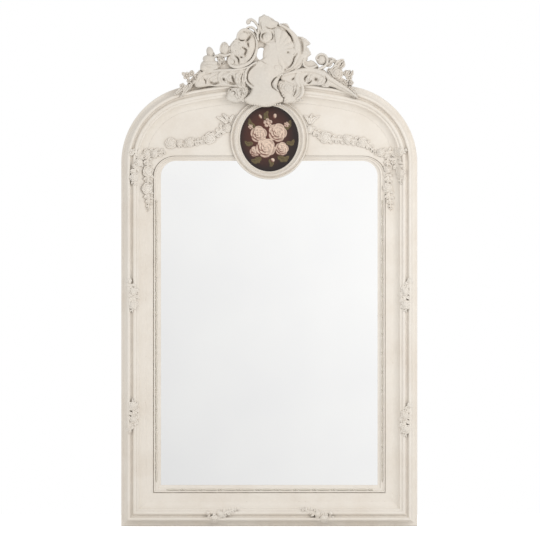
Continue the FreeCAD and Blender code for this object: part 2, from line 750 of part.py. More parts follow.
def garland(flowers, leaves, back, rise, plinth=0.0):
    """Roses (x, z, radius) on a stem in their order, and leaves (which rose, angle, length, width)."""
    shapes = [rose(x, z, radius, back, rise * (0.6 + radius / 50), plinth) for x, z, radius in flowers]
    for k, angle, length, width in leaves:
        x, z, radius = flowers[k]
        reach = radius / 2
        turn = math.radians(angle)
        x += reach * math.cos(turn)
        z += reach * math.sin(turn)
        shapes.append(leaf(x, z, angle, length, width, back, rise * 0.4, plinth))
    for first, second in zip(flowers, flowers[1:]):
        shapes.append(stem(*first[:2], *second[:2], back))
    return join(shapes)


def moved(flowers, dx, dz):
    return [(x + dx, z + dz, radius) for x, z, radius in flowers]


# ---- Crest block and batten ----
def crest_point(x, rise, h=0.0):
    """A point of the crest, by its height above the top of the arch."""
    return at(x, ARCH_TOP + rise, h)


def pierced_hole(grow=0.0):
    """The opening through the crest between the left scroll and the cartouche."""
    wire = oval(-30, ARCH_TOP + 87, 16 + grow, 23 + grow)
    return slab(wire, 0, 3 * BEAD_FACE)


def batten():
    left = BATTEN_SHIFT - BATTEN_WIDTH / 2
    right = BATTEN_SHIFT + BATTEN_WIDTH / 2
    return block(left, right, ARCH_TOP - BATTEN_DROP, ARCH_TOP + BATTEN_RISE, 0, BATTEN_THICKNESS)


def crest_core():
    """The block that carries the carving, standing on the arch inside the carving's outline."""
    top = loop(crest_point, (-310, -80), (-306, -30), (-285, 0, -225, 45), (-170, 60, -130, 62),
               (-118, 120, -80, 150), (-45, 180, -30, 215), (0, 222, 28, 190), (75, 165, 105, 110),
               (108, 60, 140, 30), (200, 22, 262, 0), (300, -25, 322, -80))
    solid = slab(top, CREST_BACK, BEAD_FACE)
    arch = slab(arch_outline(0, 0), 0, 2 * BEAD_FACE)
    return without(solid, arch, pierced_hole(2.0), batten(), *screw_holes())


def crest_loop(*steps):
    return loop(crest_point, *steps)


def crest_scroll(x, rise, heading, turns, radius):
    return scroll(x, ARCH_TOP + rise, heading, turns, radius, CARVING_FACE)


def crest_garland(flowers, leaves):
    return garland(moved(flowers, 0, ARCH_TOP), leaves, BEAD_FACE, CARVING_DEPTH)


def relief(outline, depth):
    return slab(outline, BEAD_FACE, BEAD_FACE + depth)


def crest_plume():
    """The ruffled leaf at the peak, the tendril beside it and the volute below it."""
    outline = crest_loop((-42, 160), (-46, 190, -40, 214), (-34, 226, -20, CREST_RISE), (-10, 222), (4, 227),
                         (14, 214), (26, 209), (33, 197), (50, 188), (36, 170), (20, 150), (8, 122, -28, 126),
                         (-42, 140, -42, 160))
    volute = crest_scroll(-34, 150, 90, [(22, -180), (16, -180), (9, -150)], RIM_RADIUS - 1)
    tendril = crest_scroll(-46, 164, 88, [(200, 8), (18, 80), (60, 10), (9, 130)], RIM_RADIUS)
    leaf_back = relief(outline, CARVING_DEPTH - 2)
    zone = crest_loop((-100, 190), (-100, 240), (60, 240), (60, 180), (36, 170), (20, 150), (8, 122, -28, 126),
                      (-42, 140, -42, 160), (-56, 176))
    return zone, [leaf_back, volute, tendril]


def crest_cartouche():
    """The smooth body, the shield below it and the lobe that overhangs the medallion, with their rims."""
    outline = crest_loop((-26, 126), (-12, 110, -11, 87), (-16, 64, -34, 54), (-52, 46, -62, 34),
                         (-92, 2, -66, -34), (-100, -66, -60, -98), (-18, -110, 36, -96), (62, -68, 26, -46),
                         (8, -22, 30, 4), (24, 30), (30, 64), (34, 100), (26, 128), (0, 146, -26, 126))
    shield = dome(-20, ARCH_TOP - 6, 44, CARVING_FACE, 12)
    lobe = dome(-14, ARCH_TOP - 66, 34, CARVING_FACE, 14)
    left_rim = crest_scroll(-56, 38, 204, [(44, 120), (18, -60)], RIM_RADIUS)
    right_rim = crest_scroll(30, 3, 204, [(29, 120)], RIM_RADIUS)
    return outline, [relief(outline, CARVING_DEPTH), shield, lobe, left_rim, right_rim]


def crest_scroll_left():
    """The great C-scroll, from its small head over the pierced hole to the spiral on the left."""
    outline = crest_loop((-142, 150), (-124, 186, -96, 184), (-54, 180, -42, 140), (-40, 120), (-52, 75),
                         (-68, 38), (-70, 20), (-112, 2, -150, 16), (-176, 50, -150, 96), (-130, 104), (-138, 128))
    bead = crest_scroll(-101, 134, 180, [(18, -180), (50, -90), (150, -30), (60, -60), (34, -180), (17, -150)],
                        RIM_RADIUS + 2)
    flowers = crest_garland([(-118, 50, 15), (-96, 98, 20), (-112, 124, 13)], [(1, -10, 40, 14), (1, 60, 40, 14)])
    return outline, [relief(outline, CARVING_DEPTH - RIM_RADIUS), bead, flowers]


def crest_shell():
    """The fan of ribs, its rim and the leafy edge behind it."""
    outline = crest_loop((26, 128), (38, 150), (34, 196), (52, 196, 73, 180), (96, 168, 120, 145), (152, 123),
                         (136, 108), (155, 84), (138, 71), (134, 46, 104, 22), (86, 8, 60, 8), (40, 4), (24, 30),
                         (30, 64), (34, 100))
    x, rise, reach = 32, 100, 84
    fan = crest_loop((x, rise), (x, rise + reach), (x + reach, rise, x + reach / 2, rise - reach * 0.866))
    ribs = [leaf(x, ARCH_TOP + rise, angle, reach, 26, CARVING_FACE - 2, 9, 0) for angle in range(78, -61, -23)]
    rim = crest_scroll(x, rise + reach, 0, [(reach, -150)], RIM_RADIUS)
    curl = dome(34, ARCH_TOP + 24, 13, CARVING_FACE - 8, 12)
    low = relief(outline, CARVING_DEPTH - 8)
    return outline, [low, relief(fan, CARVING_DEPTH - 2), rim, curl] + ribs


def crest_roses_left():
    """The large rose, its buds and the flowers at the far end of the left wing."""
    flowers = [(-166, 104, 20), (-219, 94, 17), (-223, 42, 34), (-262, 14, 14), (-293, 0, 21), (-317, -22, 13),
               (-332, -46, 10)]
    leaves = [(0, 70, 40, 18), (0, 110, 36, 14), (1, 95, 36, 18), (1, 20, 30, 12), (2, 25, 60, 18), (4, 150, 34, 12),
              (6, 240, 34, 14), (4, 250, 36, 12)]
    outline = crest_loop((-258, 10), (-262, 60), (-250, 140), (-150, 150), (-144, 100), (-182, 60), (-186, 14),
                         (-240, 2), (-262, -16), (-280, -36), (-318, -62), (-350, -88), (-366, -66),
                         (-345, -20), (-326, 24), (-270, 30))
    return outline, [crest_garland(flowers, leaves)]


def crest_roses_right():
    """The rose, the curled leaf and the flowers on the right wing."""
    flowers = [(196, 56, 13), (250, 12, 26), (297, 2, 15), (302, -24, 14), (320, -48, 12)]
    leaves = [(1, 66, 52, 20), (1, 100, 44, 18), (0, 172, 60, 20), (0, 20, 40, 14), (4, 300, 32, 12),
              (2, 50, 30, 12), (3, 340, 30, 10)]
    curl = crest_scroll(184, 44, 100, [(70, -20), (16, -200), (9, -120)], RIM_RADIUS)
    outline = crest_loop((134, 70), (160, 96), (222, 100), (296, 84), (300, 40), (340, 20), (336, -30),
                         (352, -84), (336, -92), (306, -70), (284, -40), (232, -14), (222, 14), (200, 32),
                         (158, 40), (124, 50))
    return outline, [crest_garland(flowers, leaves), curl]


def crest_wing_left():
    """The acanthus wing on the left shoulder, under the flowers."""
    outline = crest_loop((-62, 34), (-80, 22), (-130, 2), (-200, 14), (-258, 8), (-286, -14), (-340, -60),
                         (-330, -70), (-284, -52), (-262, -38), (-215, -28), (-190, -30), (-170, -36, -148, -34),
                         (-140, -20), (-122, -4), (-128, -36), (-100, -40), (-72, -30), (-88, 2))
    vein = crest_scroll(-96, -14, 120, [(60, 50), (400, 22)], RIM_RADIUS - 1)
    return outline, [relief(outline, CARVING_DEPTH), vein]


def crest_wing_right():
    """The arched acanthus wing on the right shoulder."""
    outline = crest_loop((40, 6), (77, 12), (120, 26), (153, 36, 199, 24), (225, 2), (251, -20), (278, -46),
                         (330, -80), (300, -82), (262, -50), (221, -34), (150, -38, 118, -36), (76, -14),
                         (50, -14))
    vein = crest_scroll(66, 0, 20, [(130, -30), (75, -50), (200, 20)], RIM_RADIUS - 1)
    return outline, [relief(outline, CARVING_DEPTH), vein]


def crest_foliage_left():
    """Small leaves and a flower beside the lower lobe, over the moulding."""
    outline = crest_loop((-166, -36), (-120, -38), (-66, -34), (-84, -70), (-70, -98), (-110, -98), (-166, -90))
    flowers = [(-136, -60, 17), (-104, -56, 14)]
    leaves = [(1, -40, 40, 20), (1, -80, 40, 16), (0, 210, 30, 12), (0, -80, 30, 12)]
    return outline, [crest_garland(flowers, leaves)]


def crest_foliage_right():
    """The rosette and leaves on the other side of the lobe."""
    outline = crest_loop((30, -6), (52, -12), (76, -14), (120, -34), (140, -60), (130, -96), (70, -100), (44, -90),
                         (58, -62), (36, -44), (14, -22))
    flowers = [(58, -30, 14), (84, -48, 28), (113, -46, 13)]
    leaves = [(1, -40, 44, 18), (1, -80, 40, 16), (2, -50, 36, 14), (0, 160, 30, 12)]
    return outline, [crest_garland(flowers, leaves)]


CARVINGS = [("crest_plume", crest_plume), ("crest_cartouche", crest_cartouche),
            ("crest_scroll_left", crest_scroll_left), ("crest_shell", crest_shell),
            ("crest_roses_left", crest_roses_left), ("crest_roses_right", crest_roses_right),
            ("crest_wing_left", crest_wing_left), ("crest_wing_right", crest_wing_right),
            ("crest_foliage_left", crest_foliage_left), ("crest_foliage_right", crest_foliage_right)]


def carved_crest():
    """All the carvings, each kept inside its own outline and a hair clear of those before it."""
    reach = BEAD_FACE + 2 * HIGH_CARVING_DEPTH
    taken = [pierced_hole()]
    pieces = []
    for name, maker in CARVINGS:
        outline, shapes = maker()
        zone = without(slab(outline, BEAD_FACE, reach), *taken)
        pieces.append((name, join(shapes).common(zone)))
        grown = Part.Face(outline).makeOffset2D(CARVING_PLAY)
        taken.append(grown.extrude(FRONT * reach))
    return pieces


# ---- Festoons and sprays ----
def moulded(shape):
    """An ornament fitted to the mouldings, so that it sits on their beads and hollows."""
    seats = [moulding_left(), moulding_arch_left(), moulding_bottom(), sight_left(), sight_top_left()]
    return largest(without(shape, *seats))


def festoon(flowers, leaves):
    """A garland left of the medallion: each rose is a share of the way to the corner and a rise above the mirror."""
    near = RING_HALF_BREADTH
    span = CORNER_X + SIGHT_CORNER_RADIUS / 2 - near
    placed = [(-near - share * span, SIGHT_TOP + rise, radius) for share, rise, radius in flowers]
    return garland(placed, leaves, FIELD, FESTOON_RISE).cut(ring_bore(CARVING_PLAY))


def festoon_left():
    flowers = [(0.97, 66, 22), (0.70, 65, 21), (0.52, 66, 11), (0.33, 84, 21), (0.20, 102, 12), (0.09, 122, 16)]
    leaves = [(0, 20, 40, 14), (0, -30, 30, 10), (1, 160, 40, 14), (1, 30, 40, 12), (2, -60, 26, 10),
              (3, 60, 44, 14), (3, 210, 40, 12), (3, -30, 36, 10), (4, 150, 40, 12), (5, 85, 56, 14),
              (5, 125, 50, 14), (5, 20, 30, 10)]
    return festoon(flowers, leaves)


def festoon_right():
    flowers = [(1.02, 44, 10), (0.865, 64, 16), (0.62, 80, 20), (0.42, 74, 12), (0.27, 87, 22), (0.06, 112, 15)]
    leaves = [(0, 255, 28, 10), (1, 200, 30, 10), (2, 40, 44, 14), (2, 150, 40, 14),
              (3, -80, 30, 10), (4, -40, 40, 12), (4, 75, 44, 14), (5, 95, 56, 14), (5, 130, 52, 12)]
    return mirror(festoon(flowers, leaves))


def corner_spray(inner, inner_leaves, outer, outer_leaves):
    """The cluster at the left corner of the sight moulding: some roses on the field, some on the moulding."""
    x = -HALF_WIDTH + MOULDING_WIDTH
    z = SIGHT_TOP
    low = garland(moved(inner, x, z), inner_leaves, FIELD, FESTOON_RISE)
    high = garland(moved(outer, x, z), outer_leaves, BEAD_FACE, FESTOON_RISE, MOULDING_RISE)
    return moulded(join([low, high.common(slab(arch_outline(0, 0), FIELD, 2 * BEAD_FACE))]))


def corner_spray_left():
    inner = [(34, 24, 14), (6, 25, 16), (7, -10, 8), (6, -46, 16), (8, -78, 10), (4, -107, 19)]
    inner_leaves = [(5, -80, 44, 14), (5, -50, 30, 8), (0, 20, 34, 12), (3, 240, 30, 10), (5, -100, 66, 12)]
    outer = [(-53, 25, 13), (-24, -4, 15), (-45, -61, 13)]
    outer_leaves = [(0, 120, 26, 10), (1, -50, 40, 16), (2, -70, 34, 12), (2, 200, 22, 8), (0, 30, 30, 12)]
    return corner_spray(inner, inner_leaves, outer, outer_leaves)


def corner_spray_right():
    inner = [(48, 30, 12), (28, 24, 16), (14, -4, 8), (14, -30, 14), (16, -66, 9), (13, -99, 15)]
    inner_leaves = [(5, -86, 50, 14), (5, -100, 70, 12), (5, -60, 30, 8), (0, 80, 24, 10), (3, 230, 28, 10)]
    outer = [(-21, 36, 15), (-30, 4, 10), (-28, -42, 14)]
    outer_leaves = [(0, 130, 26, 10), (0, -20, 50, 16), (2, -70, 34, 12), (2, 20, 36, 12), (1, 200, 24, 8)]
    return mirror(corner_spray(inner, inner_leaves, outer, outer_leaves))


def side_spray(height, turn):
    """Three roses, a bud and leaves on the beads of the left side; turn 1 points the long stem up, -1 down."""
    x = -HALF_WIDTH + SIDE_SPRAY_INSET
    flowers = [(4, 62 * turn, 8), (-6, 34 * turn, 13), (0, 0, 18), (10, -36 * turn, 14)]
    leaves = [(0, 80 * turn, 40, 12), (1, 120 * turn, 30, 10), (2, 30 * turn, 34, 12), (2, 200 * turn, 32, 10),
              (3, -60 * turn, 34, 12), (3, -110 * turn, 36, 12)]
    return moulded(garland(moved(flowers, x, height), leaves, BEAD_FACE, FESTOON_RISE, SPRAY_PLINTH))


def bottom_spray():
    """A rose on the bottom bead, left of the middle, with leaves that rise inwards."""
    flowers = [(0, 26, 18), (32, 36, 12), (58, 48, 6)]
    leaves = [(2, 30, 46, 16), (1, 60, 30, 12), (1, -10, 40, 12), (0, 110, 32, 12), (0, 190, 26, 10), (2, 5, 34, 10)]
    placed = moved(flowers, -BOTTOM_SPRAY_X, 0)
    return moulded(garland(placed, leaves, BEAD_FACE, FESTOON_RISE, SPRAY_PLINTH))


if __name__ == "__main__":
    os.makedirs("parts", exist_ok=True)
    save("stile_left", stile_left())
    save("stile_right", mirror(stile_left()))
    save("bottom_rail", bottom_rail())
    save("head_board", head_board())
    save("lap_pegs", Part.makeCompound(pegs(0)))
    save("moulding_left", moulding_left())
    save("moulding_right", mirror(moulding_left()))
    save("moulding_bottom", moulding_bottom())
    save("moulding_arch_left", moulding_arch_left())
    save("moulding_arch_crown", moulding_arch_crown())
    save("moulding_arch_right", mirror(moulding_arch_left()))
    save("frieze_left", frieze_left())
    save("frieze_right", mirror(frieze_left()))
    save("frieze_bottom", frieze_bottom())
    save("spandrel_left", spandrel_left())
    save("spandrel_right", mirror(spandrel_left()))
    save("sight_left", sight_left())
    save("sight_right", mirror(sight_left()))
    save("sight_bottom", sight_bottom())
    save("sight_top_left", sight_top_left())
    save("sight_top_right", mirror(sight_top_left()))
    save("pearls_left", pearls_left())
    save("pearls_right", mirror(pearls_left()))
    save("pearls_bottom", pearls_bottom())
    save("mirror_plate", mirror_plate())
    save("setting_blocks", setting_blocks())
    save("glazing_pads", glazing_pads())
    save("backboard_lower", backboard(0))
    save("backboard_middle", backboard(1))
    save("backboard_upper", backboard(2))
    save("screws", Part.makeCompound(screws()))
    save("medallion_ring", medallion_ring())
    save("medallion_panel", picture_layer(CARCASS_THICKNESS + BACKING_THICKNESS, PICTURE_THICKNESS))
    save("medallion_backing", picture_layer(CARCASS_THICKNESS, BACKING_THICKNESS))
    save("hanger_strap_left", hanger_strap_left())
    save("hanger_strap_right", mirror(hanger_strap_left()))
    save("hanger_ring_left", hanger_ring_left())
    save("hanger_ring_right", mirror(hanger_ring_left()))
    save("crest_batten", without(batten(), *screw_holes()))
    save("crest_core", crest_core())
    for name, carving in carved_crest():
        save(name, carving)
    save("festoon_left", festoon_left())
    save("festoon_right", festoon_right())
    save("corner_spray_left", corner_spray_left())
    save("corner_spray_right", corner_spray_right())
    save("side_spray_left_upper", side_spray(UPPER_SPRAY_HEIGHT, 1))
    save("side_spray_left_lower", side_spray(LOWER_SPRAY_HEIGHT, -1))
    save("side_spray_right_upper", mirror(side_spray(UPPER_SPRAY_HEIGHT, 1)))
    save("side_spray_right_lower", mirror(side_spray(LOWER_SPRAY_HEIGHT, 1)))
    save("bottom_spray_left", bottom_spray())
    save("bottom_spray_right", mirror(bottom_spray()))
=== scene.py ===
import math

import bpy
import numpy as np
from mathutils import Matrix, Vector


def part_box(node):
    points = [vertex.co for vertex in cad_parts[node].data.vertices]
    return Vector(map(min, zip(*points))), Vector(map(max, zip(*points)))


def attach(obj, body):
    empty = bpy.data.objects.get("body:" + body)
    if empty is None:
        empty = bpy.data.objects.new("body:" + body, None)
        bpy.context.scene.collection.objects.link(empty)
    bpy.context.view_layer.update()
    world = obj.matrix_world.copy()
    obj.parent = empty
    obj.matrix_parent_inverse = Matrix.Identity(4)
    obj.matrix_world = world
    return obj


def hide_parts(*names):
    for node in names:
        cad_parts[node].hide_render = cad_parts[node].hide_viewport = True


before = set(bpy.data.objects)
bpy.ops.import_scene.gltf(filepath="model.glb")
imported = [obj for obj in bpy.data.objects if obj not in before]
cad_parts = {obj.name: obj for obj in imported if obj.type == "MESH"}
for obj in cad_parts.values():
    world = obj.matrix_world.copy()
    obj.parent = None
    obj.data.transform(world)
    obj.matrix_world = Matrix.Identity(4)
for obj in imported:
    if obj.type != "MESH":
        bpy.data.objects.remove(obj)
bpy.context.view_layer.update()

bl_info = {
    "name": "Carved Trumeau Mirror",
    "version": (1, 0, 0),
    "blender": (4, 5, 0),
    "location": "3D View > Sidebar > Trumeau",
    "description": "Dresses an arched trumeau mirror: carved ornament, paint, glass, picture and fittings",
    "category": "Object",
}

MM = 0.001

# Read from the frame, in millimetres: faces are over the wall, ARCH_TOP and RING_CENTRE are over the floor.
ARCH_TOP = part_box("moulding_arch_crown")[1][2] / MM
BEAD_FACE = -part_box("crest_core")[0][1] / MM
FIELD = -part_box("frieze_left")[0][1] / MM
HALF_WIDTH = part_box("moulding_bottom")[1][0] / MM
RING_CENTRE = (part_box("medallion_ring")[0][2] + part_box("medallion_ring")[1][2]) / 2 / MM

# Places of the small sprays, and of the screws: x, how far the head's face lies off the wall, and the heights.
SIDE_SPRAYS = {"left": -502.0, "right": 502.0}
SPRAY_HEIGHTS = {"upper": 866.0, "lower": 404.0}
SPRAY_HALF_WIDTH, SPRAY_HALF_HEIGHT = 38, 80
BOARD_SCREWS = ((-423.0, 423.0), 2.0, (229.8, 439.5, 649.2, 858.8, 1068.5, 1278.2))
BATTEN_SCREWS = ((9.0, 39.0), 0.0, (1555.3, 1615.3, 1713.3, 1765.3))
STRAP_SCREWS = ((-482.5, 482.5), 7.0, (1147.2, 1165.2, 1183.2))
SCREW_HEAD_HALF = 1.25


# ---- Sizes and colours that a user would change ----
class PaintSettings(bpy.types.PropertyGroup):
    cream: bpy.props.StringProperty(name="Cream", description="Hex colour of the paint", default="#E9E2D8")
    crest: bpy.props.StringProperty(name="Crest", description="Hex colour of the paint on the crest",
                                    default="#D8D1C7")
    # The bead strip's colour is a darker copy of the cream, painted shade for the hollows between its beads.
    strip: bpy.props.StringProperty(name="Bead strip", description="Hex colour of the bead strip, darker than the cream as painted shade between the beads",
                                    default="#D3CCBE")
    warm: bpy.props.StringProperty(name="Warm patches", description="Hex colour of yellowed paint", default="#DFD5C8")
    # Grime is partly a grey-brown wash and partly painted shade, laid where corners and hollows are occluded.
    grime_and_shade_colour: bpy.props.StringProperty(name="Grime and painted shade", description="Hex colour of the grey-brown wash and painted shade in hollows and corners",
                                    default="#6E6152")
    chalk: bpy.props.StringProperty(name="Rubbed edges", description="Hex colour of rubbed high edges",
                                    default="#F4EEE6")
    bare: bpy.props.StringProperty(name="Bare wood", description="Hex colour where the paint has gone",
                                   default="#9C8468")
    reach: bpy.props.FloatProperty(name="Wash and shade reach", description="How far the wash and painted shade spread out of a corner",
                                   default=0.014, unit="LENGTH", min=0.001)


class CarvingSettings(bpy.types.PropertyGroup):
    grid: bpy.props.FloatProperty(name="Carving grid", description="Spacing of the carved surface's points",
                                  default=0.0013, unit="LENGTH", min=0.0005)
    fine_grid: bpy.props.FloatProperty(name="Spray grid", description="Spacing on the small sprays",
                                       default=0.0011, unit="LENGTH", min=0.0005)


class StripSettings(bpy.types.PropertyGroup):
    radius: bpy.props.FloatProperty(name="Bead radius", description="Radius of olives and pearls",
                                    default=0.0035, unit="LENGTH", min=0.001)
    olive: bpy.props.FloatProperty(name="Olive length", description="Length of one olive",
                                   default=0.052, unit="LENGTH", min=0.005)
    pearl: bpy.props.FloatProperty(name="Pearl pitch", description="Spacing of the pearls",
                                   default=0.009, unit="LENGTH", min=0.002)


class FittingSettings(bpy.types.PropertyGroup):
    head: bpy.props.FloatProperty(name="Screw head radius", description="Radius of a screw's head",
                                  default=0.004, unit="LENGTH", min=0.001)
    slot: bpy.props.FloatProperty(name="Slot width", description="Width of a screw's slot",
                                  default=0.001, unit="LENGTH", min=0.0002)


class StageSettings(bpy.types.PropertyGroup):
    distance: bpy.props.FloatProperty(name="Camera distance", description="From the wall to the camera",
                                      default=14.0, unit="LENGTH", min=2.0)
    frame_width: bpy.props.FloatProperty(name="Frame width", description="Width of the view at the mouldings",
                                         default=2.004, unit="LENGTH", min=0.5)
    ambient: bpy.props.FloatProperty(name="Ambient light", description="Strength of the even light", default=0.71,
                                     min=0.0)
    key: bpy.props.FloatProperty(name="Key light", description="Power of the large soft lamp", default=25.0,
                                 unit="POWER", min=0.0)
    fill: bpy.props.FloatProperty(name="Fill light", description="Power of the weak lamp on the left", default=9.0,
                                  unit="POWER", min=0.0)


# ---- Carving: a relief is a grid of heights in front of its seat ----
HOLLOW_REACH = 10         # millimetres over which a hollow counts as low
CREASE = 55             # degrees; sharper turns shade as edges
LEAF_SPACING = 10.5     # millimetres between a garland's leaves


def ease(t):
    """Rises smoothly from 0 to 1."""
    t = np.clip(t, 0.0, 1.0)
    return t * t * (3 - 2 * t)


def flowing(points, per=9, closed=False):
    """A smooth line through a few points."""
    p = np.array(points, float)
    if closed:
        p = np.vstack([p[-1], p, p[0], p[1]])
    else:
        p = np.vstack([2 * p[0] - p[1], p, 2 * p[-1] - p[-2]])
    t = np.linspace(0, 1, per, endpoint=False)[:, None]
    runs = []
    for a, b, c, d in zip(p, p[1:], p[2:], p[3:]):
        runs.append(0.5 * (2 * b + (c - a) * t + (2 * a - 5 * b + 4 * c - d) * t ** 2
                           + (3 * b - a - 3 * c + d) * t ** 3))
    line = np.vstack(runs)
    return line if closed else np.vstack([line, p[-2]])


def spiral(x, z, start_radius, end_radius, start, sweep):
    """Points of a spiral about a centre, angles in degrees."""
    steps = max(4, int(abs(sweep) / 30))
    turn = np.radians(start + sweep * np.linspace(0, 1, steps))
    radius = np.linspace(start_radius, end_radius, steps)
    return [(x + r * math.cos(a), z + r * math.sin(a)) for r, a in zip(radius, turn)]


def blurred(field, rounds):
    """The field with each point averaged with its neighbours, a number of times over."""
    for _ in range(rounds):
        wide = np.pad(field, 1, mode="edge")
        field = (wide[:-2, 1:-1] + wide[2:, 1:-1] + wide[1:-1, :-2] + wide[1:-1, 2:] + 2 * field) / 6
    return field


class Relief:
    """Heights on a grid in millimetres, x to the right, z up; inside is how far a point lies within an outline."""

    def __init__(self, low, high, step):
        self.step = step
        self.x, self.z = np.meshgrid(np.arange(low[0], high[0], step), np.arange(low[1], high[1], step),
                                     indexing="ij")
        self.height = np.zeros_like(self.x)
        self.inside = np.full_like(self.x, -10.0)

    def window(self, x0, x1, z0, z1):
        """The part of the grid round a motif."""
        def reach(lowest, a, b, count):
            first = int((a - lowest) / self.step) - 2
            last = int((b - lowest) / self.step) + 3
            return slice(min(max(first, 0), count), min(max(last, 0), count))
        return (reach(self.x[0, 0], x0, x1, self.x.shape[0]), reach(self.z[0, 0], z0, z1, self.x.shape[1]))

    def lay(self, where, inside, height):
        """Puts a motif on the relief; where two meet the higher one shows."""
        here = (inside > 0) & (height > self.height[where])
        self.height[where] = np.where(here, height, self.height[where])
        self.inside[where] = np.maximum(self.inside[where], inside)

    def along(self, where, line):
        """For each point its share of the way along the line and its distance to the left of it."""
        x, z = self.x[where], self.z[where]
        a, d = line[:-1], np.diff(line, axis=0)
        length = np.hypot(d[:, 0], d[:, 1]) + 1e-9
        start = np.concatenate([[0], np.cumsum(length)])
        near = np.full(x.shape, 1e9)
        share = np.zeros_like(x)
        side = np.zeros_like(x)
        for k in range(len(a)):
            px, pz = x - a[k, 0], z - a[k, 1]
            t = np.clip((px * d[k, 0] + pz * d[k, 1]) / length[k] ** 2, 0, 1)
            gap = np.hypot(px - t * d[k, 0], pz - t * d[k, 1])
            closer = gap < near
            near = np.where(closer, gap, near)
            share = np.where(closer, (start[k] + t * length[k]) / start[-1], share)
            side = np.where(closer, np.sign(d[k, 0] * pz - d[k, 1] * px), side)
        return share, side * near

    def beside(self, points, reach):
        """The grid round a smooth line, with each point's share of the way and its distance to the left."""
        line = flowing(points)
        (x0, z0), (x1, z1) = line.min(0) - reach, line.max(0) + reach
        where = self.window(x0, x1, z0, z1)
        return (where,) + self.along(where, line)

    def band(self, points, widths, base, rise, hollow=0.0):
        """A scroll: a raised strip, round or with a hollow down its middle; widths are half widths."""
        where, share, v = self.beside(points, max(widths))
        half = np.interp(share, np.linspace(0, 1, len(widths)), widths)
        t = np.clip(np.abs(v) / half, 0, 1)
        section = np.sqrt(1 - t ** 4) * (1 - hollow * (1 - ease(t / 0.72)))
        self.lay(where, half - np.abs(v), base + rise * section)

    def leaf(self, points, width, base, rise, lobes=4, hollow=0.25):
        """A carved leaf: scalloped edge, vein, ribs that lean towards the tip, and a tip that lifts."""
        where, share, v = self.beside(points, width / 2 + 1)
        shape = np.clip(np.sin(np.pi * np.clip(share, 0.001, 0.999) ** 0.8), 0, 1) ** 0.75
        notch = 0.78 + 0.22 * np.abs(np.cos(np.pi * (lobes * share + 0.5)))
        half = width / 2 * shape * notch + 0.2
        t = np.clip(np.abs(v) / half, 0, 1)
        section = np.sqrt(1 - t ** 6) * (1 - hollow * (1 - t ** 2))
        vein = 0.20 * np.exp(-(v / (0.07 * width)) ** 2) * ease((1 - share) * 4)
        ribs = 0.10 * np.cos(2 * np.pi * (lobes * share - 0.7 * t)) * ease(t * 2) * (1 - t ** 4)
        lift = 0.62 + 0.38 * np.sin(np.pi * share ** 1.4)
        self.lay(where, half - np.abs(v), base + rise * np.clip(lift * section - vein + ribs, 0.0, 1.1))

    def around(self, x, z, reach):
        """The grid round a centre, with each point's offset from it."""
        where = self.window(x - reach, x + reach, z - reach, z + reach)
        return where, self.x[where] - x, self.z[where] - z

    def petal(self, where, dx, dz, radius, turn, out, size, base, lift, rise):
        """One cupped petal whose rim curls."""
        a = (dx * math.cos(turn) + dz * math.sin(turn) - out * radius) / (size * radius)
        b = (dz * math.cos(turn) - dx * math.sin(turn)) / (size * radius * 1.3)
        rho = np.sqrt(a ** 2 + b ** 2)
        cup = lift + 0.20 * rho ** 2 + 0.10 * b - 0.10 * np.clip(a, 0, 1) ** 2
        edge = np.sqrt(np.clip(1 - np.clip(rho, 0, 1) ** 10, 0, 1))
        self.lay(where, (1 - rho) * size * radius, base + rise * cup * (0.35 + 0.65 * edge))

    def rose(self, x, z, radius, base, rise, turn=0.0):
        """A full rose: three rings of petals round a furled heart."""
        where, dx, dz = self.around(x, z, radius)
        for out, size, count, lift, skew in ((0.58, 0.42, 5, 0.22, 0.0), (0.36, 0.36, 5, 0.48, 0.6),
                                             (0.17, 0.27, 4, 0.70, 0.2)):
            for k in range(count):
                angle = turn + skew + 2 * math.pi * k / count
                self.petal(where, dx, dz, radius, angle, out, size, base, lift, rise)
        rho = np.hypot(dx, dz) / (0.2 * radius)
        furl = 0.86 + 0.10 * np.cos(np.arctan2(dz, dx) + turn - 7 * rho) - 0.12 * rho ** 2
        self.lay(where, (1 - rho) * 0.2 * radius, base + rise * furl)

    def blossom(self, x, z, radius, base, rise, petals=5, turn=0.0):
        """An open flower: creased petals round a domed eye."""
        where, dx, dz = self.around(x, z, radius)
        rho = np.hypot(dx, dz) / radius
        angle = (np.arctan2(dz, dx) - turn) * petals / (2 * np.pi)
        phase = np.abs(angle - np.round(angle)) * 2
        edge = 1 - 0.30 * phase ** 2.5
        t = np.clip(rho / edge, 0, 1)
        cup = (0.30 + 0.42 * t ** 1.5) * np.sqrt(1 - t ** 8) * (1 - 0.45 * ease((phase - 0.55) / 0.45))
        cup = cup - 0.14 * np.exp(-(phase / 0.16) ** 2) * t
        self.lay(where, (edge - rho) * radius, base + rise * np.clip(cup, 0, 1))
        eye = rho / 0.27
        dome = 0.42 + 0.42 * np.sqrt(np.clip(1 - eye ** 2, 0, 1))
        self.lay(where, (1 - eye) * 0.27 * radius, base + rise * dome)

    def boss(self, x, z, half_width, half_height, base, rise, turn=0.0, flat=2.0):
        """A round or oval swelling; a higher flat makes it fuller."""
        where, dx, dz = self.around(x, z, max(half_width, half_height))
        c, s = math.cos(math.radians(turn)), math.sin(math.radians(turn))
        rho = np.hypot((dx * c + dz * s) / half_width, (dz * c - dx * s) / half_height)
        dome = np.sqrt(1 - np.clip(rho, 0, 1) ** flat)
        self.lay(where, (1 - rho) * min(half_width, half_height), base + rise * dome)

    def groove(self, points, half, depth):
        """A dark cut between two forms, deepest in its middle."""
        where, share, v = self.beside(points, 3 * half)
        cut = depth * np.exp(-(v / half) ** 2) * np.sin(np.pi * np.clip(share, 0.06, 0.94)) ** 0.5
        self.height[where] = np.maximum(self.height[where] - cut, np.minimum(self.height[where], 1.5))

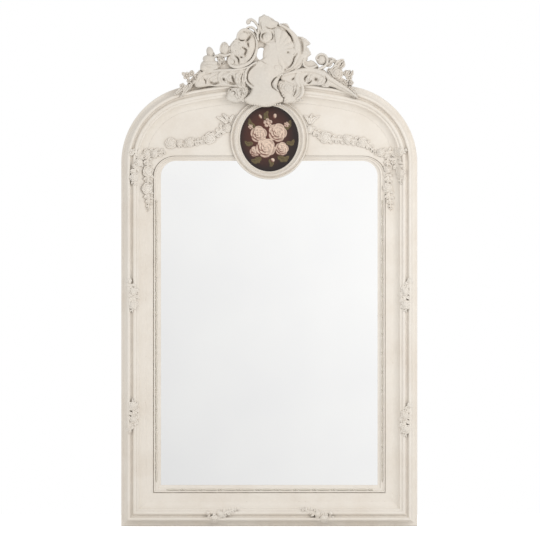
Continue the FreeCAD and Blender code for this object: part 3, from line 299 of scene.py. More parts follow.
    def fan(self, x, z, inner, outer, start, end, ribs, base, rise):
        """A shell: ribs that widen from the hinge to a scalloped edge; outer gives radii from start to end."""
        where, dx, dz = self.around(x, z, max(outer))
        radius = np.hypot(dx, dz)
        middle = math.radians((start + end) / 2)
        angle = np.degrees(np.angle(np.exp(1j * (np.arctan2(dz, dx) - middle)))) + (start + end) / 2
        share = (angle - start) / (end - start)
        rib = np.abs(np.sin(np.pi * ribs * share)) ** 0.8
        far = np.interp(share, np.linspace(0, 1, len(outer)), outer) * (0.95 + 0.05 * rib)
        t = np.clip(radius / far, 0, 1)
        height = (0.68 + 0.08 * t + 0.26 * (rib - 0.5) * ease(t * 1.6 - 0.25)) * np.sqrt(1 - t ** 16)
        sideways = np.minimum(share, 1 - share) * abs(end - start) * np.pi / 180 * radius
        within = np.minimum(np.minimum(far - radius, radius - inner), sideways)
        self.lay(where, within, base + rise * height)

    def plate(self, outline, base, rise, edge, dish=0.0, flutes=None, smooth=True):
        """A smooth or fluted panel of any outline, rounded over near its edge and dished inside."""
        line = flowing(outline, 6, True) if smooth else np.array(outline, float)
        where = self.window(line[:, 0].min(), line[:, 0].max(), line[:, 1].min(), line[:, 1].max())
        v = self.along(where, np.vstack([line, line[:1]]))[1]
        x, z = self.x[where], self.z[where]
        odd = np.zeros(x.shape, bool)
        for (x0, z0), (x1, z1) in zip(line, np.roll(line, -1, axis=0)):
            crosses = (z0 > z) != (z1 > z)
            odd ^= crosses & (x < (x1 - x0) * (z - z0) / (z1 - z0 + 1e-12) + x0)
        depth = np.where(odd, np.abs(v), -np.abs(v))
        t = np.clip(depth / edge, 0, 1)
        height = rise * np.sqrt(1 - (1 - t) ** 2) - dish * ease((depth - edge * 0.6) / edge)
        if flutes:
            fx, fz, count, deep = flutes
            ribs = np.cos(count * np.arctan2(z - fz, x - fx))
            height = height + deep * ribs * ease(np.hypot(x - fx, z - fz) / 60)
        self.lay(where, depth, base + np.clip(height, 0, None))

    def trimmed(self, solid, used, h):
        """The grid's points with those just outside the outline moved onto it; returns x, z and height."""
        rim = used & ~solid
        sums = np.zeros(h.shape + (4,))
        for i in (-1, 0, 1):
            for j in (-1, 0, 1):
                near = np.roll(solid, (-i, -j), (0, 1)) & rim
                deep = np.roll(self.inside, (-i, -j), (0, 1))
                t = np.where(near, -self.inside / np.maximum(deep - self.inside, 1e-6), 0)
                t = np.clip(t, 0.0, 0.9)
                sums[..., 0] += np.where(near, t * i * self.step, 0)
                sums[..., 1] += np.where(near, t * j * self.step, 0)
                sums[..., 2] += np.where(near, np.roll(h, (-i, -j), (0, 1)), 0)
                sums[..., 3] += near
        shift_x, shift_z, top = np.moveaxis(sums[..., :3] / np.maximum(sums[..., 3:], 1), -1, 0)
        return self.x + shift_x, self.z + shift_z, np.where(rim, 0.45 * top, h)

    def mesh(self, name, seat, back):
        """A closed mesh: the carved front, walls along its outline and a flat back."""
        solid = self.inside > 0
        h = np.where(solid, self.height, 0.0)
        h = np.where(solid, 0.6 * h + 0.4 * blurred(h, 1), 0.0)
        # How far each point lies below its surroundings; the paint turns deep hollows into grime and painted shade.
        hollow = blurred(h, int(HOLLOW_REACH / self.step)) - h
        cell = solid[:-1, :-1] | solid[1:, :-1] | solid[:-1, 1:] | solid[1:, 1:]
        used = self.used = np.zeros_like(solid)
        for i in (0, 1):
            for j in (0, 1):
                used[i:i + cell.shape[0], j:j + cell.shape[1]] |= cell
        x, z, top = self.trimmed(solid, used, h)
        n = int(used.sum())
        index = np.full(h.shape, -1)
        index[used] = np.arange(n)
        front = np.stack([x[used], -(seat + top)[used], z[used]], 1) * MM
        rear = np.stack([x[used], np.full(n, -float(back)), z[used]], 1) * MM
        i, j = np.nonzero(cell)
        quads = np.stack([index[i, j], index[i + 1, j], index[i + 1, j + 1], index[i, j + 1]], 1)
        # An edge whose reverse belongs to no other quad lies on the outline, and gets a wall.
        edges = np.concatenate([quads[:, [k, (k + 1) % 4]] for k in range(4)])
        open_edges = edges[~np.isin(edges[:, 0] * n + edges[:, 1], edges[:, 1] * n + edges[:, 0])]
        a, b = open_edges[:, 0], open_edges[:, 1]
        walls = np.stack([b, a, a + n, b + n], 1)
        faces = np.concatenate([quads, quads[:, ::-1] + n, walls])
        mesh = bpy.data.meshes.new(name)
        mesh.from_pydata(np.concatenate([front, rear]).tolist(), [], faces.tolist())
        layer = mesh.attributes.new("hollow", "FLOAT", "POINT")
        layer.data.foreach_set("value", np.concatenate([hollow[used], np.zeros(n)]).astype(np.float32))
        mesh.shade_smooth()
        mesh.set_sharp_from_angle(angle=math.radians(CREASE))
        return mesh


# ---- The carvings, in millimetres: x to the right, z above the top of the arch or above the floor ----
def carve_plume(r):
    """The panel behind the eye, the curled plume over it and the tendril on its left."""
    r.plate([(-36, 134), (-38, 160), (-34, 186), (0, 196), (34, 192), (46, 176), (46, 120), (20, 118), (-12, 122)],
            1, 15, 10)
    r.plate([(-39, 158), (-40, 186), (-39, 219), (-30, 225), (-19, 232), (-11, 227), (-1, 224), (10, 212), (23, 208),
             (34, 203), (36, 196), (31, 186), (22, 180), (6, 172), (-10, 164)], 5, 15, 8, 2, (-22, 120, 9, 1.0))
    r.boss(-11, 151, 27, 27, 9, 11, 0, 5)
    r.boss(-6, 150, 13, 13, 12, 12, 0, 3)
    r.band([(-42, 138), (-44, 152), (-41, 168), (-41, 184), (-49, 198), (-58, 208), (-69, 212), (-80, 206),
            (-80, 199)], [5, 5, 4, 4, 5, 5, 6, 5], 8, 10)
    r.boss(-76, 203, 7, 7, 8, 11)
    r.groove([(8, 212), (20, 207), (29, 203), (33, 196), (31, 185)], 2.6, 9)
    r.groove([(-16, 187), (-4, 180), (8, 178), (22, 181)], 2.2, 7)
    r.groove([(-28, 172), (-32, 190), (-33, 208)], 2.0, 5)
    r.groove([(-14, 163), (-24, 157), (-27, 148), (-24, 139)], 3.2, 12)
    r.groove([(8, 166), (13, 152), (10, 140), (0, 133)], 1.8, 7)
    r.groove([(-36, 172), (-34, 160), (-37, 146)], 2.0, 9)
    r.groove([(24, 172), (25, 160), (22, 150)], 1.6, 5)


def carve_cartouche(r):
    """The smooth shield, its two rolled edges, the lobe below it and a row of small beads."""
    r.plate([(-18, 128), (-9, 112), (-9, 98), (-14, 82), (-28, 66), (-50, 56), (-66, 38), (-84, 20), (-92, 0),
             (-88, -20), (-74, -36), (-66, -46), (-74, -62), (-94, -80), (-86, -96), (-62, -105), (-16, -108),
             (24, -101), (45, -94), (54, -82), (46, -64), (34, -52), (30, -36), (34, -16), (46, 4), (60, 16),
             (62, 60), (62, 100), (58, 132), (10, 133), (-6, 131)], 6, 15, 12)
    r.boss(-33, 3, 50, 44, 11, 14, 0, 2.4)
    r.boss(-16, -74, 62, 38, 9, 14, 0, 2.4)
    r.boss(20, 80, 44, 60, 9, 13, 0, 2.6)
    r.band([(-48, 54), (-68, 42), (-84, 24), (-89, 2), (-85, -18), (-72, -34), (-58, -43)], [3, 4, 5, 5, 5, 4, 3],
           9, 13)
    r.band([(50, 10), (34, 2), (22, -12), (18, -26), (22, -40), (32, -51)], [3, 4, 4, 4, 3], 10, 14)
    r.groove([(-52, 44), (-66, 33), (-78, 17), (-82, -3), (-77, -19), (-60, -34)], 2.4, 12)
    r.groove([(34, 3), (20, -7), (10, -20), (9, -31), (14, -41), (23, -48)], 2.4, 12)
    r.groove([(-78, -42), (-72, -51), (-76, -62), (-94, -80)], 3.4, 13)
    r.groove([(38, -48), (40, -58), (44, -68), (54, -81)], 3.0, 12)
    r.groove([(-28, 48), (-18, 22)], 9, 3.5)
    r.groove([(-34, 63), (-20, 52), (-6, 46)], 1.8, 4)
    for k in range(13):
        x = -64 + 8.6 * k
        r.boss(x, -101 - 5 * math.sin(math.pi * (x + 66) / 110), 3.6, 3.0, 13, 6)


def carve_scroll_left(r):
    """The large C scroll with flowers and buds in its hollow, and the dark cuts between them."""
    r.plate([(-138, 128), (-122, 146), (-116, 162), (-96, 172), (-74, 170), (-58, 156), (-46, 132), (-45, 108),
             (-50, 88), (-60, 66), (-80, 46), (-112, 32), (-138, 34), (-156, 48), (-158, 70), (-146, 90),
             (-150, 108)], 1, 13, 9)
    r.band([(-118, 142), (-112, 160), (-96, 172), (-76, 169), (-60, 158), (-51, 140), (-48, 116), (-50, 94),
            (-57, 74), (-69, 57), (-90, 44), (-116, 36), (-138, 40), (-150, 54), (-148, 70)],
           [5, 7, 8, 8, 7, 6, 6, 6, 7, 8, 8, 7, 6, 5], 8, 13, 0.1)
    r.band([(-92, 176), (-74, 184), (-58, 180), (-48, 164), (-40, 144)], [2, 4, 5, 4, 3], 8, 10)
    r.boss(-99, 151, 22, 18, 8, 15, 12, 2.6)
    r.boss(-68, 116, 20, 38, 7, 11, -14, 2.6)
    r.boss(-80, 74, 24, 18, 7, 11, 40, 2.6)
    r.boss(-138, 54, 15, 15, 9, 12, 0, 3)
    for x, z, radius, turn in ((-112, 124, 13, 0.3), (-128, 116, 11, 0.8), (-104, 104, 13, 0.9), (-122, 96, 12, 0.1),
                               (-136, 92, 9, 0.4), (-98, 84, 10, 0.6), (-112, 80, 11, 0.2)):
        r.blossom(x, z, radius, 8, 13, 5, turn)
    r.leaf([(-116, 122), (-126, 118), (-136, 108)], 12, 5, 12, 3)
    r.leaf([(-112, 130), (-126, 132), (-138, 126)], 12, 5, 12, 3)
    r.leaf([(-124, 88), (-136, 84), (-147, 90)], 13, 5, 12, 3)
    r.groove([(-96, 167), (-78, 166), (-64, 158), (-54, 140), (-51, 112), (-56, 90), (-66, 70), (-80, 56), (-96, 47)],
             1.7, 8)
    r.groove([(-66, 175), (-54, 156), (-44, 138), (-37, 124)], 1.8, 9)
    r.groove([(-70, 153), (-77, 141), (-86, 131)], 3.4, 16)
    r.groove([(-80, 128), (-77, 110)], 3.0, 14)
    r.groove([(-99, 109), (-86, 99), (-90, 85), (-90, 76)], 3.2, 16)
    r.groove([(-128, 78), (-116, 68), (-113, 50)], 3.0, 14)
    r.groove([(-108, 74), (-100, 71)], 2.6, 12)
    r.groove([(-116, 142), (-104, 135), (-90, 136)], 2.0, 9)
    r.groove(spiral(-138, 54, 10, 8, 100, -230), 1.6, 6)


def carve_shell(r):
    """The ribbed shell, the rolled band round it and the jagged leaves outside the band."""
    r.plate([(20, 120), (30, 176), (42, 199), (58, 194), (73, 178), (95, 156), (118, 142), (134, 132), (153, 122),
             (134, 110), (138, 96), (155, 83), (140, 71), (136, 56), (120, 38), (96, 22), (70, 9), (46, 4), (24, 20)],
            2, 14, 9, 0, None, False)
    r.leaf([(98, 146), (122, 136), (153, 122)], 24, 6, 11, 4, 0.1)
    r.leaf([(112, 120), (130, 104), (155, 83)], 26, 6, 11, 4, 0.1)
    r.leaf([(116, 92), (130, 78), (142, 62)], 22, 5, 11, 4, 0.1)
    r.leaf([(44, 192), (60, 190), (76, 176)], 18, 8, 11, 3, 0.1)
    r.fan(26, 98, 2, (86, 84, 81, 76, 71, 72, 76, 74, 80, 83, 84), 96, -80, 8, 11, 16)
    r.band([(38, 192), (56, 184), (75, 170), (92, 149), (102, 124), (104, 98), (100, 74), (92, 56), (80, 38),
            (62, 26)], [4, 6, 9, 12, 14, 14, 11, 8, 5], 8, 17)
    r.band([(128, 66), (118, 44), (98, 28), (76, 16), (50, 6)], [3, 5, 6, 6, 4], 7, 13)
    r.boss(28, 32, 17, 17, 10, 12, 0, 4)
    r.boss(26, 34, 11, 11, 13, 12, 0, 3)
    r.groove([(62, 170), (74, 157), (81, 146), (85, 135)], 2.8, 15)
    r.groove([(102, 84), (92, 70), (88, 56), (78, 39), (58, 26)], 2.8, 14)
    r.groove([(111, 143), (119, 126), (122, 106), (119, 88)], 4.2, 11)
    r.groove([(36, 42), (43, 34), (41, 24)], 3.0, 13)
    r.groove([(102, 32), (84, 21), (56, 2)], 1.8, 8)
    r.groove([(66, 92), (72, 89)], 3.2, 9)
    r.groove([(126, 52), (116, 36)], 2.2, 8)


def carve_wing_left(r):
    """Six overlapping acanthus leaves under a rolled edge."""
    r.plate([(-66, 44), (-110, 36), (-160, 28), (-210, 26), (-246, 16), (-268, 0), (-278, -20), (-272, -38),
             (-248, -38), (-222, -34), (-196, -36), (-160, -36), (-122, -40), (-106, -46), (-88, -42), (-82, -10),
             (-76, 20)], 1, 15, 9)
    r.leaf([(-196, 18), (-228, 12), (-254, -2), (-272, -30)], 36, 8, 12, 4, 0.1)
    r.leaf([(-168, 16), (-196, 8), (-220, -6), (-232, -30)], 30, 8, 13, 3, 0.1)
    r.leaf([(-140, 22), (-166, 12), (-182, -4), (-176, -30)], 32, 8, 14, 3, 0.1)
    r.leaf([(-118, 22), (-142, 10), (-158, -8), (-146, -32)], 26, 8, 14, 3, 0.1)
    r.leaf([(-92, 26), (-110, 6), (-116, -16), (-108, -42)], 30, 8, 15, 4, 0.1)
    r.leaf([(-86, 20), (-94, -4), (-98, -26), (-92, -44)], 22, 9, 14, 3, 0.1)
    r.band([(-64, 42), (-90, 32), (-120, 26), (-156, 24), (-196, 22), (-232, 14)], [3, 5, 6, 6, 4], 8, 13)
    r.groove([(-222, -18), (-206, -26), (-190, -22)], 4.0, 18)
    r.groove([(-152, -20), (-138, -26), (-126, -26)], 4.4, 18)
    r.groove([(-139, 4), (-134, -10), (-129, -24)], 3.4, 18)
    r.groove([(-172, -6), (-166, -13)], 3.2, 13)
    r.groove([(-246, -4), (-236, -16), (-236, -28)], 2.0, 8)
    r.groove([(-98, 14), (-104, -6), (-102, -30)], 1.8, 7)


def carve_wing_right(r):
    """One long rolled edge that runs down the arch, with three leaves under it."""
    r.plate([(44, 8), (84, 26), (120, 36), (160, 36), (196, 30), (222, 12), (242, -6), (268, -24), (296, -44),
             (324, -76), (296, -66), (262, -50), (236, -38), (210, -34), (186, -32), (160, -32), (136, -34),
             (108, -40), (92, -34), (60, -20), (44, -12)], 1, 15, 10)
    r.band([(54, 6), (86, 16), (122, 24), (160, 24), (194, 14), (224, -6), (254, -26), (290, -48), (322, -74)],
           [4, 7, 9, 10, 11, 9, 8, 6, 3], 7, 15)
    r.band([(116, 22), (104, 4), (102, -14), (112, -34)], [6, 10, 10, 6], 8, 12)
    r.leaf([(168, 18), (154, 8), (148, -6), (152, -26)], 24, 8, 13, 3, 0.1)
    r.leaf([(196, 12), (200, -4), (190, -20), (172, -30)], 28, 7, 13, 4, 0.1)
    r.leaf([(228, -10), (222, -22), (212, -30), (192, -34)], 20, 6, 12, 3, 0.1)
    r.groove([(143, 6), (132, -4), (132, -16)], 2.8, 14)
    r.groove([(139, -23), (147, -23), (156, -15)], 2.4, 12)
    r.groove([(168, -6), (177, -13)], 5.5, 16)
    r.groove([(92, -4), (84, -12)], 2.6, 12)
    r.groove([(204, 4), (212, -12), (204, -26)], 2.0, 8)


def carve_roses_left(r):
    """Two buds on a large cupped rose, and the small flowers and leaves down the left end."""
    r.boss(-221, 38, 35, 28, 3, 19, -4, 2.6)
    for x, z, half_width, half_height, turn, high in ((-240, 34, 17, 15, 20, 18), (-204, 36, 17, 15, -20, 18),
                                                      (-222, 22, 26, 11, 0, 17), (-221, 50, 32, 12, 2, 20),
                                                      (-222, 40, 22, 9, -2, 23)):
        r.boss(x, z, half_width, half_height, 5, high, turn, 2.4)
    r.boss(-224, 66, 23, 15, 6, 19, -6, 2.6)
    r.boss(-232, 62, 13, 10, 8, 19, 10)
    r.boss(-220, 92, 13, 20, 3, 17, 14, 2.2)
    r.leaf([(-216, 74), (-208, 88), (-206, 84), (-200, 76)], 10, 4, 14, 2)
    r.leaf([(-226, 80), (-216, 94), (-222, 108)], 9, 8, 13, 2, 0.3)
    r.boss(-166, 104, 17, 26, 3, 15, 0, 2.8)
    r.leaf([(-172, 84), (-178, 104), (-172, 128)], 14, 6, 15, 2, 0.35)
    r.leaf([(-163, 82), (-160, 106), (-164, 130)], 16, 7, 15, 2, 0.35)
    r.leaf([(-158, 84), (-150, 100), (-152, 118)], 12, 5, 13, 2, 0.3)
    r.band([(-184, 84), (-166, 78), (-146, 84)], [4, 6, 4], 7, 15)
    r.band([(-214, 66), (-196, 78), (-178, 78), (-160, 84)], [5, 4], 3, 13)
    r.leaf([(-194, 76), (-184, 60), (-186, 34)], 16, 3, 15, 3)
    r.leaf([(-186, 76), (-172, 64), (-170, 46)], 16, 3, 15, 3)
    r.blossom(-182, 72, 9, 6, 15)
    r.blossom(-150, 92, 8, 4, 13, 5, 0.5)
    r.blossom(-306, 4, 15, 3, 17, 5, 0.2)
    r.blossom(-288, 12, 12, 4, 17, 5, 0.7)
    r.blossom(-266, 2, 14, 4, 18, 5, 0.4)
    r.boss(-252, 10, 12, 10, 3, 16)
    r.boss(-276, -18, 10, 8, 3, 15, 30)
    r.leaf([(-290, 8), (-286, 20), (-290, 24)], 12, 2, 12, 2)
    r.leaf([(-264, 10), (-258, 20), (-262, 24)], 11, 2, 12, 2)
    r.leaf([(-310, 8), (-320, 14), (-322, 6)], 10, 2, 11, 2)
    r.blossom(-298, -16, 9, 3, 15, 5, 0.5)
    r.blossom(-322, -34, 12, 2, 14, 5, 0.1)
    r.leaf([(-302, -30), (-316, -44), (-330, -52)], 15, 2, 12, 3)
    r.leaf([(-318, -36), (-334, -52), (-354, -68)], 15, 2, 12, 4)
    r.leaf([(-292, -24), (-310, -50), (-332, -78)], 15, 2, 11, 4)
    r.leaf([(-282, -20), (-292, -32), (-296, -48)], 13, 2, 12, 3)


def carve_roses_right(r):
    """A curl, a full rose, and the small flowers and leaves down the right end."""
    r.plate([(124, 52), (132, 66), (142, 58), (156, 62), (172, 52), (182, 36), (160, 28), (134, 34)], 2, 12, 6, 2)
    r.band([(126, 60), (128, 44), (142, 33), (162, 34), (178, 42)], [3, 5, 6, 6, 3], 5, 17)
    r.boss(194, 64, 20, 20, 4, 13, 0, 3)
    r.band([(182, 28), (200, 36), (212, 48), (215, 64), (207, 79), (192, 84), (178, 77), (175, 66), (182, 62)],
           [5, 6, 5, 5, 5, 5, 4, 4], 6, 17)
    r.leaf([(214, 38), (230, 52), (240, 62), (240, 50)], 20, 4, 15, 3)
    r.leaf([(216, 66), (232, 64), (242, 52)], 16, 3, 13, 3)
    r.leaf([(244, 30), (254, 50), (278, 66)], 24, 5, 17, 3, 0.3)
    r.leaf([(262, 32), (274, 44), (276, 62)], 16, 4, 16, 3)
    r.leaf([(232, 22), (244, 36), (264, 40)], 18, 4, 15, 3)
    r.rose(248, 14, 27, 4, 22, 1.0)
    r.blossom(226, 6, 11, 3, 15)
    r.blossom(222, 24, 10, 3, 16, 5, 0.5)
    r.leaf([(286, -2), (290, 14), (302, 26)], 17, 4, 16, 3)
    r.leaf([(298, 0), (306, 12), (310, 26)], 14, 4, 15, 3)
    r.leaf([(282, 2), (280, 16), (288, 26)], 12, 3, 14, 3)
    r.blossom(296, -4, 13, 4, 17, 5, 0.4)
    r.blossom(304, -22, 10, 3, 15, 5, 0.1)
    r.blossom(282, -22, 11, 3, 15, 5, 0.6)
    r.leaf([(262, -16), (276, -30), (292, -36)], 14, 2, 12, 3)
    r.blossom(300, -44, 11, 2, 13, 5, 0.7)
    r.leaf([(300, -40), (318, -56), (328, -82)], 17, 2, 11, 4)
    r.leaf([(290, -36), (302, -58), (318, -80)], 13, 1, 10, 3)


def carve_foliage_left(r):
    """A rosette with leaves, left of the lower lobe."""
    r.plate([(-150, -44), (-120, -36), (-84, -34), (-78, -60), (-96, -86), (-112, -94), (-136, -94), (-160, -84),
             (-156, -62)], 1, 11, 9)
    r.boss(-135, -60, 17, 16, 5, 13, 0, 3)
    r.leaf([(-112, -38), (-110, -58), (-96, -76)], 24, 6, 14, 3, 0.15)
    r.leaf([(-96, -36), (-90, -56), (-84, -68)], 20, 6, 15, 3, 0.15)
    r.leaf([(-118, -50), (-118, -70), (-108, -90)], 18, 5, 13, 3, 0.15)
    r.leaf([(-146, -70), (-154, -80), (-164, -82)], 12, 3, 11, 2)
    r.leaf([(-132, -74), (-128, -86), (-134, -94)], 13, 3, 11, 2)
    r.leaf([(-100, -72), (-98, -86), (-86, -94)], 14, 3, 12, 3)
    r.groove([(-147, -46), (-142, -50)], 3.2, 12)
    r.groove(spiral(-134, -62, 10, 5, 160, -260), 1.8, 8)
    r.groove([(-108, -46), (-104, -60), (-106, -74)], 1.6, 6)


def carve_foliage_right(r):
    """A rose in a rolled leaf, right of the lower lobe."""
    r.plate([(34, -16), (60, -12), (100, -10), (122, -22), (130, -50), (124, -74), (108, -90), (76, -98), (52, -96),
             (54, -80), (42, -60), (30, -44)], 1, 12, 10)
    r.rose(68, -42, 30, 7, 15, 0.2)
    r.band([(104, -14), (118, -26), (124, -48), (118, -70), (102, -83)], [5, 6, 7, 6, 4], 6, 13)
    r.leaf([(88, -18), (100, -34), (98, -58), (84, -78)], 24, 7, 14, 4, 0.15)
    r.leaf([(60, -20), (48, -30), (40, -50)], 18, 7, 14, 3)
    r.leaf([(88, -72), (106, -84), (130, -88)], 16, 3, 11, 4)
    r.leaf([(68, -72), (62, -84), (54, -95)], 16, 5, 12, 3)
    r.leaf([(80, -74), (86, -88), (94, -97)], 15, 4, 11, 3)
    r.blossom(56, -66, 11, 7, 12, 5, 0.4)
    r.groove([(42, -8), (30, -18), (26, -28), (32, -36)], 2.2, 12)
    r.groove([(85, -14), (93, -6)], 3.0, 12)
    r.groove([(98, -44), (96, -56), (90, -70)], 2.4, 9)


def garland(r, points, halves, base, rise):
    """Small leaves and flowers packed along a path over low ground; halves are half widths."""
    line = flowing(points, 12)
    length = np.concatenate([[0], np.cumsum(np.hypot(*np.diff(line, axis=0).T))])
    r.band(points, [0.3 * half for half in halves], base, 0.3 * rise)
    for k, run in enumerate(np.arange(3.0, length[-1], LEAF_SPACING)):
        x, z = (float(np.interp(run, length, line[:, i])) for i in (0, 1))
        ux, uz = (float(np.interp(run + 4, length, line[:, i]) - np.interp(run - 4, length, line[:, i])) / 8
                  for i in (0, 1))
        half = float(np.interp(run / length[-1], np.linspace(0, 1, len(halves)), halves))
        side = 1 if k % 2 else -1
        nx, nz = -uz * side, ux * side
        r.leaf([(x, z), (x + half * (0.5 * nx + 0.15 * ux), z + half * (0.5 * nz + 0.15 * uz)),
                (x + half * (1.1 * nx + 0.6 * ux), z + half * (1.1 * nz + 0.6 * uz))], 0.5 * half + 3, base,
               0.7 * rise, 3)
        if k % 2:
            r.blossom(x - 0.5 * half * nx, z - 0.5 * half * nz, 0.36 * half + 1.5, base + 1, 0.8 * rise, 5, float(k))


def carve_festoon_left(r):
    """A garland from the left end down to the medallion, and three leaves that stand up there."""
    garland(r, [(-384, 1424), (-350, 1420), (-320, 1422), (-290, 1426), (-262, 1430), (-226, 1440), (-196, 1456),
                (-168, 1482), (-150, 1494)], [6, 13, 14, 17, 12, 22, 15, 20, 15], 0, 13)
    for x, z, radius, turn in ((-366, 1423, 21, 0.3), (-334, 1423, 13, 0.8), (-297, 1426, 17, 1.1),
                               (-222, 1441, 22, 0.7), (-156, 1479, 16, 0.2)):
        r.rose(x, z, radius, 4, 15, turn)
    r.leaf([(-160, 1494), (-172, 1510), (-198, 1522)], 15, 1, 9, 5)
    r.leaf([(-154, 1498), (-158, 1516), (-176, 1534)], 13, 1, 9, 5)
    r.leaf([(-146, 1498), (-142, 1514), (-130, 1530)], 13, 1, 9, 5)


def carve_festoon_right(r):
    """The same on the right, a little shorter."""
    garland(r, [(146, 1478), (176, 1462), (208, 1446), (246, 1438), (290, 1436), (330, 1430), (356, 1424),
                (384, 1400), (398, 1382)], [15, 16, 23, 15, 18, 18, 19, 12, 5], 0, 13)
    for x, z, radius, turn in ((150, 1473, 15, 0.2), (207, 1445, 22, 0.5), (290, 1438, 15, 0.1),
                               (346, 1427, 18, 0.9)):
        r.rose(x, z, radius, 4, 15, turn)
    r.leaf([(148, 1492), (144, 1510), (128, 1528)], 14, 1, 9, 5)
    r.leaf([(154, 1492), (164, 1512), (190, 1524)], 15, 1, 9, 5)
    r.leaf([(150, 1494), (154, 1516), (160, 1534)], 13, 1, 9, 5)


def carve_corner_left(r):
    """Three garlands: one level, one down the outer moulding and one down the frieze."""
    garland(r, [(-520, 1390), (-484, 1388), (-452, 1386), (-422, 1386), (-388, 1392)], [10, 15, 18, 18, 9], 0, 12)
    garland(r, [(-480, 1384), (-484, 1350), (-498, 1322), (-503, 1296), (-498, 1262)], [14, 18, 16, 17, 5], 0, 12)
    garland(r, [(-450, 1382), (-452, 1350), (-448, 1315), (-450, 1285), (-452, 1252), (-447, 1212), (-451, 1170)],
            [17, 15, 20, 14, 19, 13, 4], 0, 12)
    for x, z, radius, turn in ((-455, 1385, 16, 0.4), (-427, 1385, 14, 0.0), (-484, 1351, 15, 0.5),
                               (-452, 1316, 19, 0.0), (-502, 1295, 16, 0.2), (-455, 1254, 20, 0.5)):
        r.rose(x, z, radius, 4, 15, turn)
    r.blossom(-514, 1388, 13, 1, 12)


def carve_corner_right(r):
    """The same on the right."""
    garland(r, [(392, 1398), (415, 1388), (450, 1390), (482, 1392), (508, 1398)], [9, 17, 18, 18, 9], 0, 12)
    garland(r, [(482, 1386), (470, 1358), (482, 1330), (489, 1308), (486, 1270)], [15, 22, 18, 16, 5], 0, 12)
    garland(r, [(440, 1382), (440, 1350), (438, 1322), (442, 1290), (440, 1258), (448, 1214), (452, 1172)],
            [15, 13, 17, 13, 18, 13, 4], 0, 12)
    for x, z, radius, turn in ((414, 1388, 15, 0.0), (482, 1391, 17, 0.2), (439, 1324, 13, 0.3), (488, 1311, 15, 0.5),
                               (439, 1258, 18, 0.5)):
        r.rose(x, z, radius, 4, 15, turn)


def spray_upright(r, x, z, side, turn):
    """A rose and leaves on a stile; side 1 leans the tip to the left, turn 1 points it up."""
    def at(dx, dz):
        return x + side * dx, z + turn * dz
    garland(r, [at(-24, 62), at(-16, 34), at(-4, 8), at(0, -18), at(-4, -48), at(-6, -70)], [7, 17, 23, 22, 20, 6],
            0, 12)
    for dx, dz, radius in ((-4, -44, 17), (-2, 6, 15), (-20, 46, 12)):
        r.rose(*at(dx, dz), radius, 3, 13, 0.3 + 0.01 * dz)


def spray_bottom(r, side):
    """A rose on the bottom bead with leaves that rise towards the middle."""
    garland(r, [(side * dx, dz) for dx, dz in ((-240, 32), (-206, 34), (-184, 44), (-158, 54), (-132, 62),
                                               (-108, 66))], [7, 19, 18, 15, 10, 3], 0, 12)
    for dx, dz, radius in ((-204, 28, 17), (-180, 45, 12), (-228, 50, 8)):
        r.rose(side * dx, dz, radius, 3, 13, 0.3)


def moulding_height(d):
    """Height of the outer moulding over the wall, its grooves evened out, at a distance in from its edge."""
    return np.interp(d, (0, 10, 22, 30, 50, 64, 76, 91), (45, 46, 61, 68, 66, 60, 46, FIELD))


def stile_seat(x, z):
    """Height of the moulding under a spray at the side."""
    return moulding_height(HALF_WIDTH - np.abs(x))


def rail_seat(x, z):
    """Height of the moulding under a spray at the bottom."""
    return moulding_height(z)


def carved(name, low, high, step, lift, seat, back, maker):
    """One carved mesh from its maker; lift is added to z, and seat is a height or gives it from x and z."""
    relief = Relief(low, high, step)
    maker(relief)
    mesh = relief.mesh(name, seat(relief.x, relief.z) if callable(seat) else seat, back)
    if lift:
        mesh.transform(Matrix.Translation((0, 0, lift * MM)))
    return mesh


# ---- Materials ----
CREST_PAINT = "cream distemper on carved crest"
GESSO_PAINT = "cream distemper on carved gesso"
WOOD_PAINT = "cream distemper on moulded wood"
SHADED_STRIP_PAINT = "cream distemper on bead strip with painted shade"
SCREW_STEEL = "plain steel screw"
PICTURE_PAINT = "oil paint on panel"


def paint_colour(hex_colour):
    """An sRGB hex colour as linear RGBA."""
    value = hex_colour.lstrip("#")
    parts = [int(value[k:k + 2], 16) / 255 for k in (0, 2, 4)]
    return tuple(p / 12.92 if p <= 0.04045 else ((p + 0.055) / 1.055) ** 2.4 for p in parts) + (1.0,)


def plug(tree, made, **inputs):
    """Sets or links a node's inputs: i0, i1 are inputs by number, and a node stands for its first result."""
    for key, value in inputs.items():
        socket = made.inputs[int(key[1:]) if key[0] == "i" and key[1:].isdigit() else key.replace("_", " ")]
        if isinstance(value, bpy.types.Node):
            value = next(result for result in value.outputs if result.enabled)
        if isinstance(value, bpy.types.NodeSocket):
            tree.links.new(value, socket)
        else:
            socket.default_value = value


def node(tree, kind, settings=None, **inputs):
    """Adds a node with its settings and its inputs."""
    made = tree.nodes.new(kind)
    for key, value in (settings or {}).items():
        setattr(made, key, value)
    plug(tree, made, **inputs)
    return made


def finish_called(name, metallic, roughness, ior=1.5):
    """A new material; returns its tree, its shader and the object's coordinates in metres."""
    material = bpy.data.materials.new(name)
    material.use_nodes = True
    tree = material.node_tree
    shader = tree.nodes["Principled BSDF"]
    plug(tree, shader, Metallic=metallic, Roughness=roughness, IOR=ior)
    return tree, shader, node(tree, "ShaderNodeTexCoord").outputs["Object"]


def coats(tree, colour, *layers):
    """Lays colours over one another; a layer's value from low to high shows it from least to most."""
    colour = paint_colour(colour) if isinstance(colour, str) else colour
    for value, low, high, least, most, over in layers:
        share = node(tree, "ShaderNodeMapRange", Value=value, i1=low, i2=high, i3=least, i4=most)
        colour = node(tree, "ShaderNodeMix", {"data_type": "RGBA"}, i0=share, i6=colour, i7=paint_colour(over))
    return colour


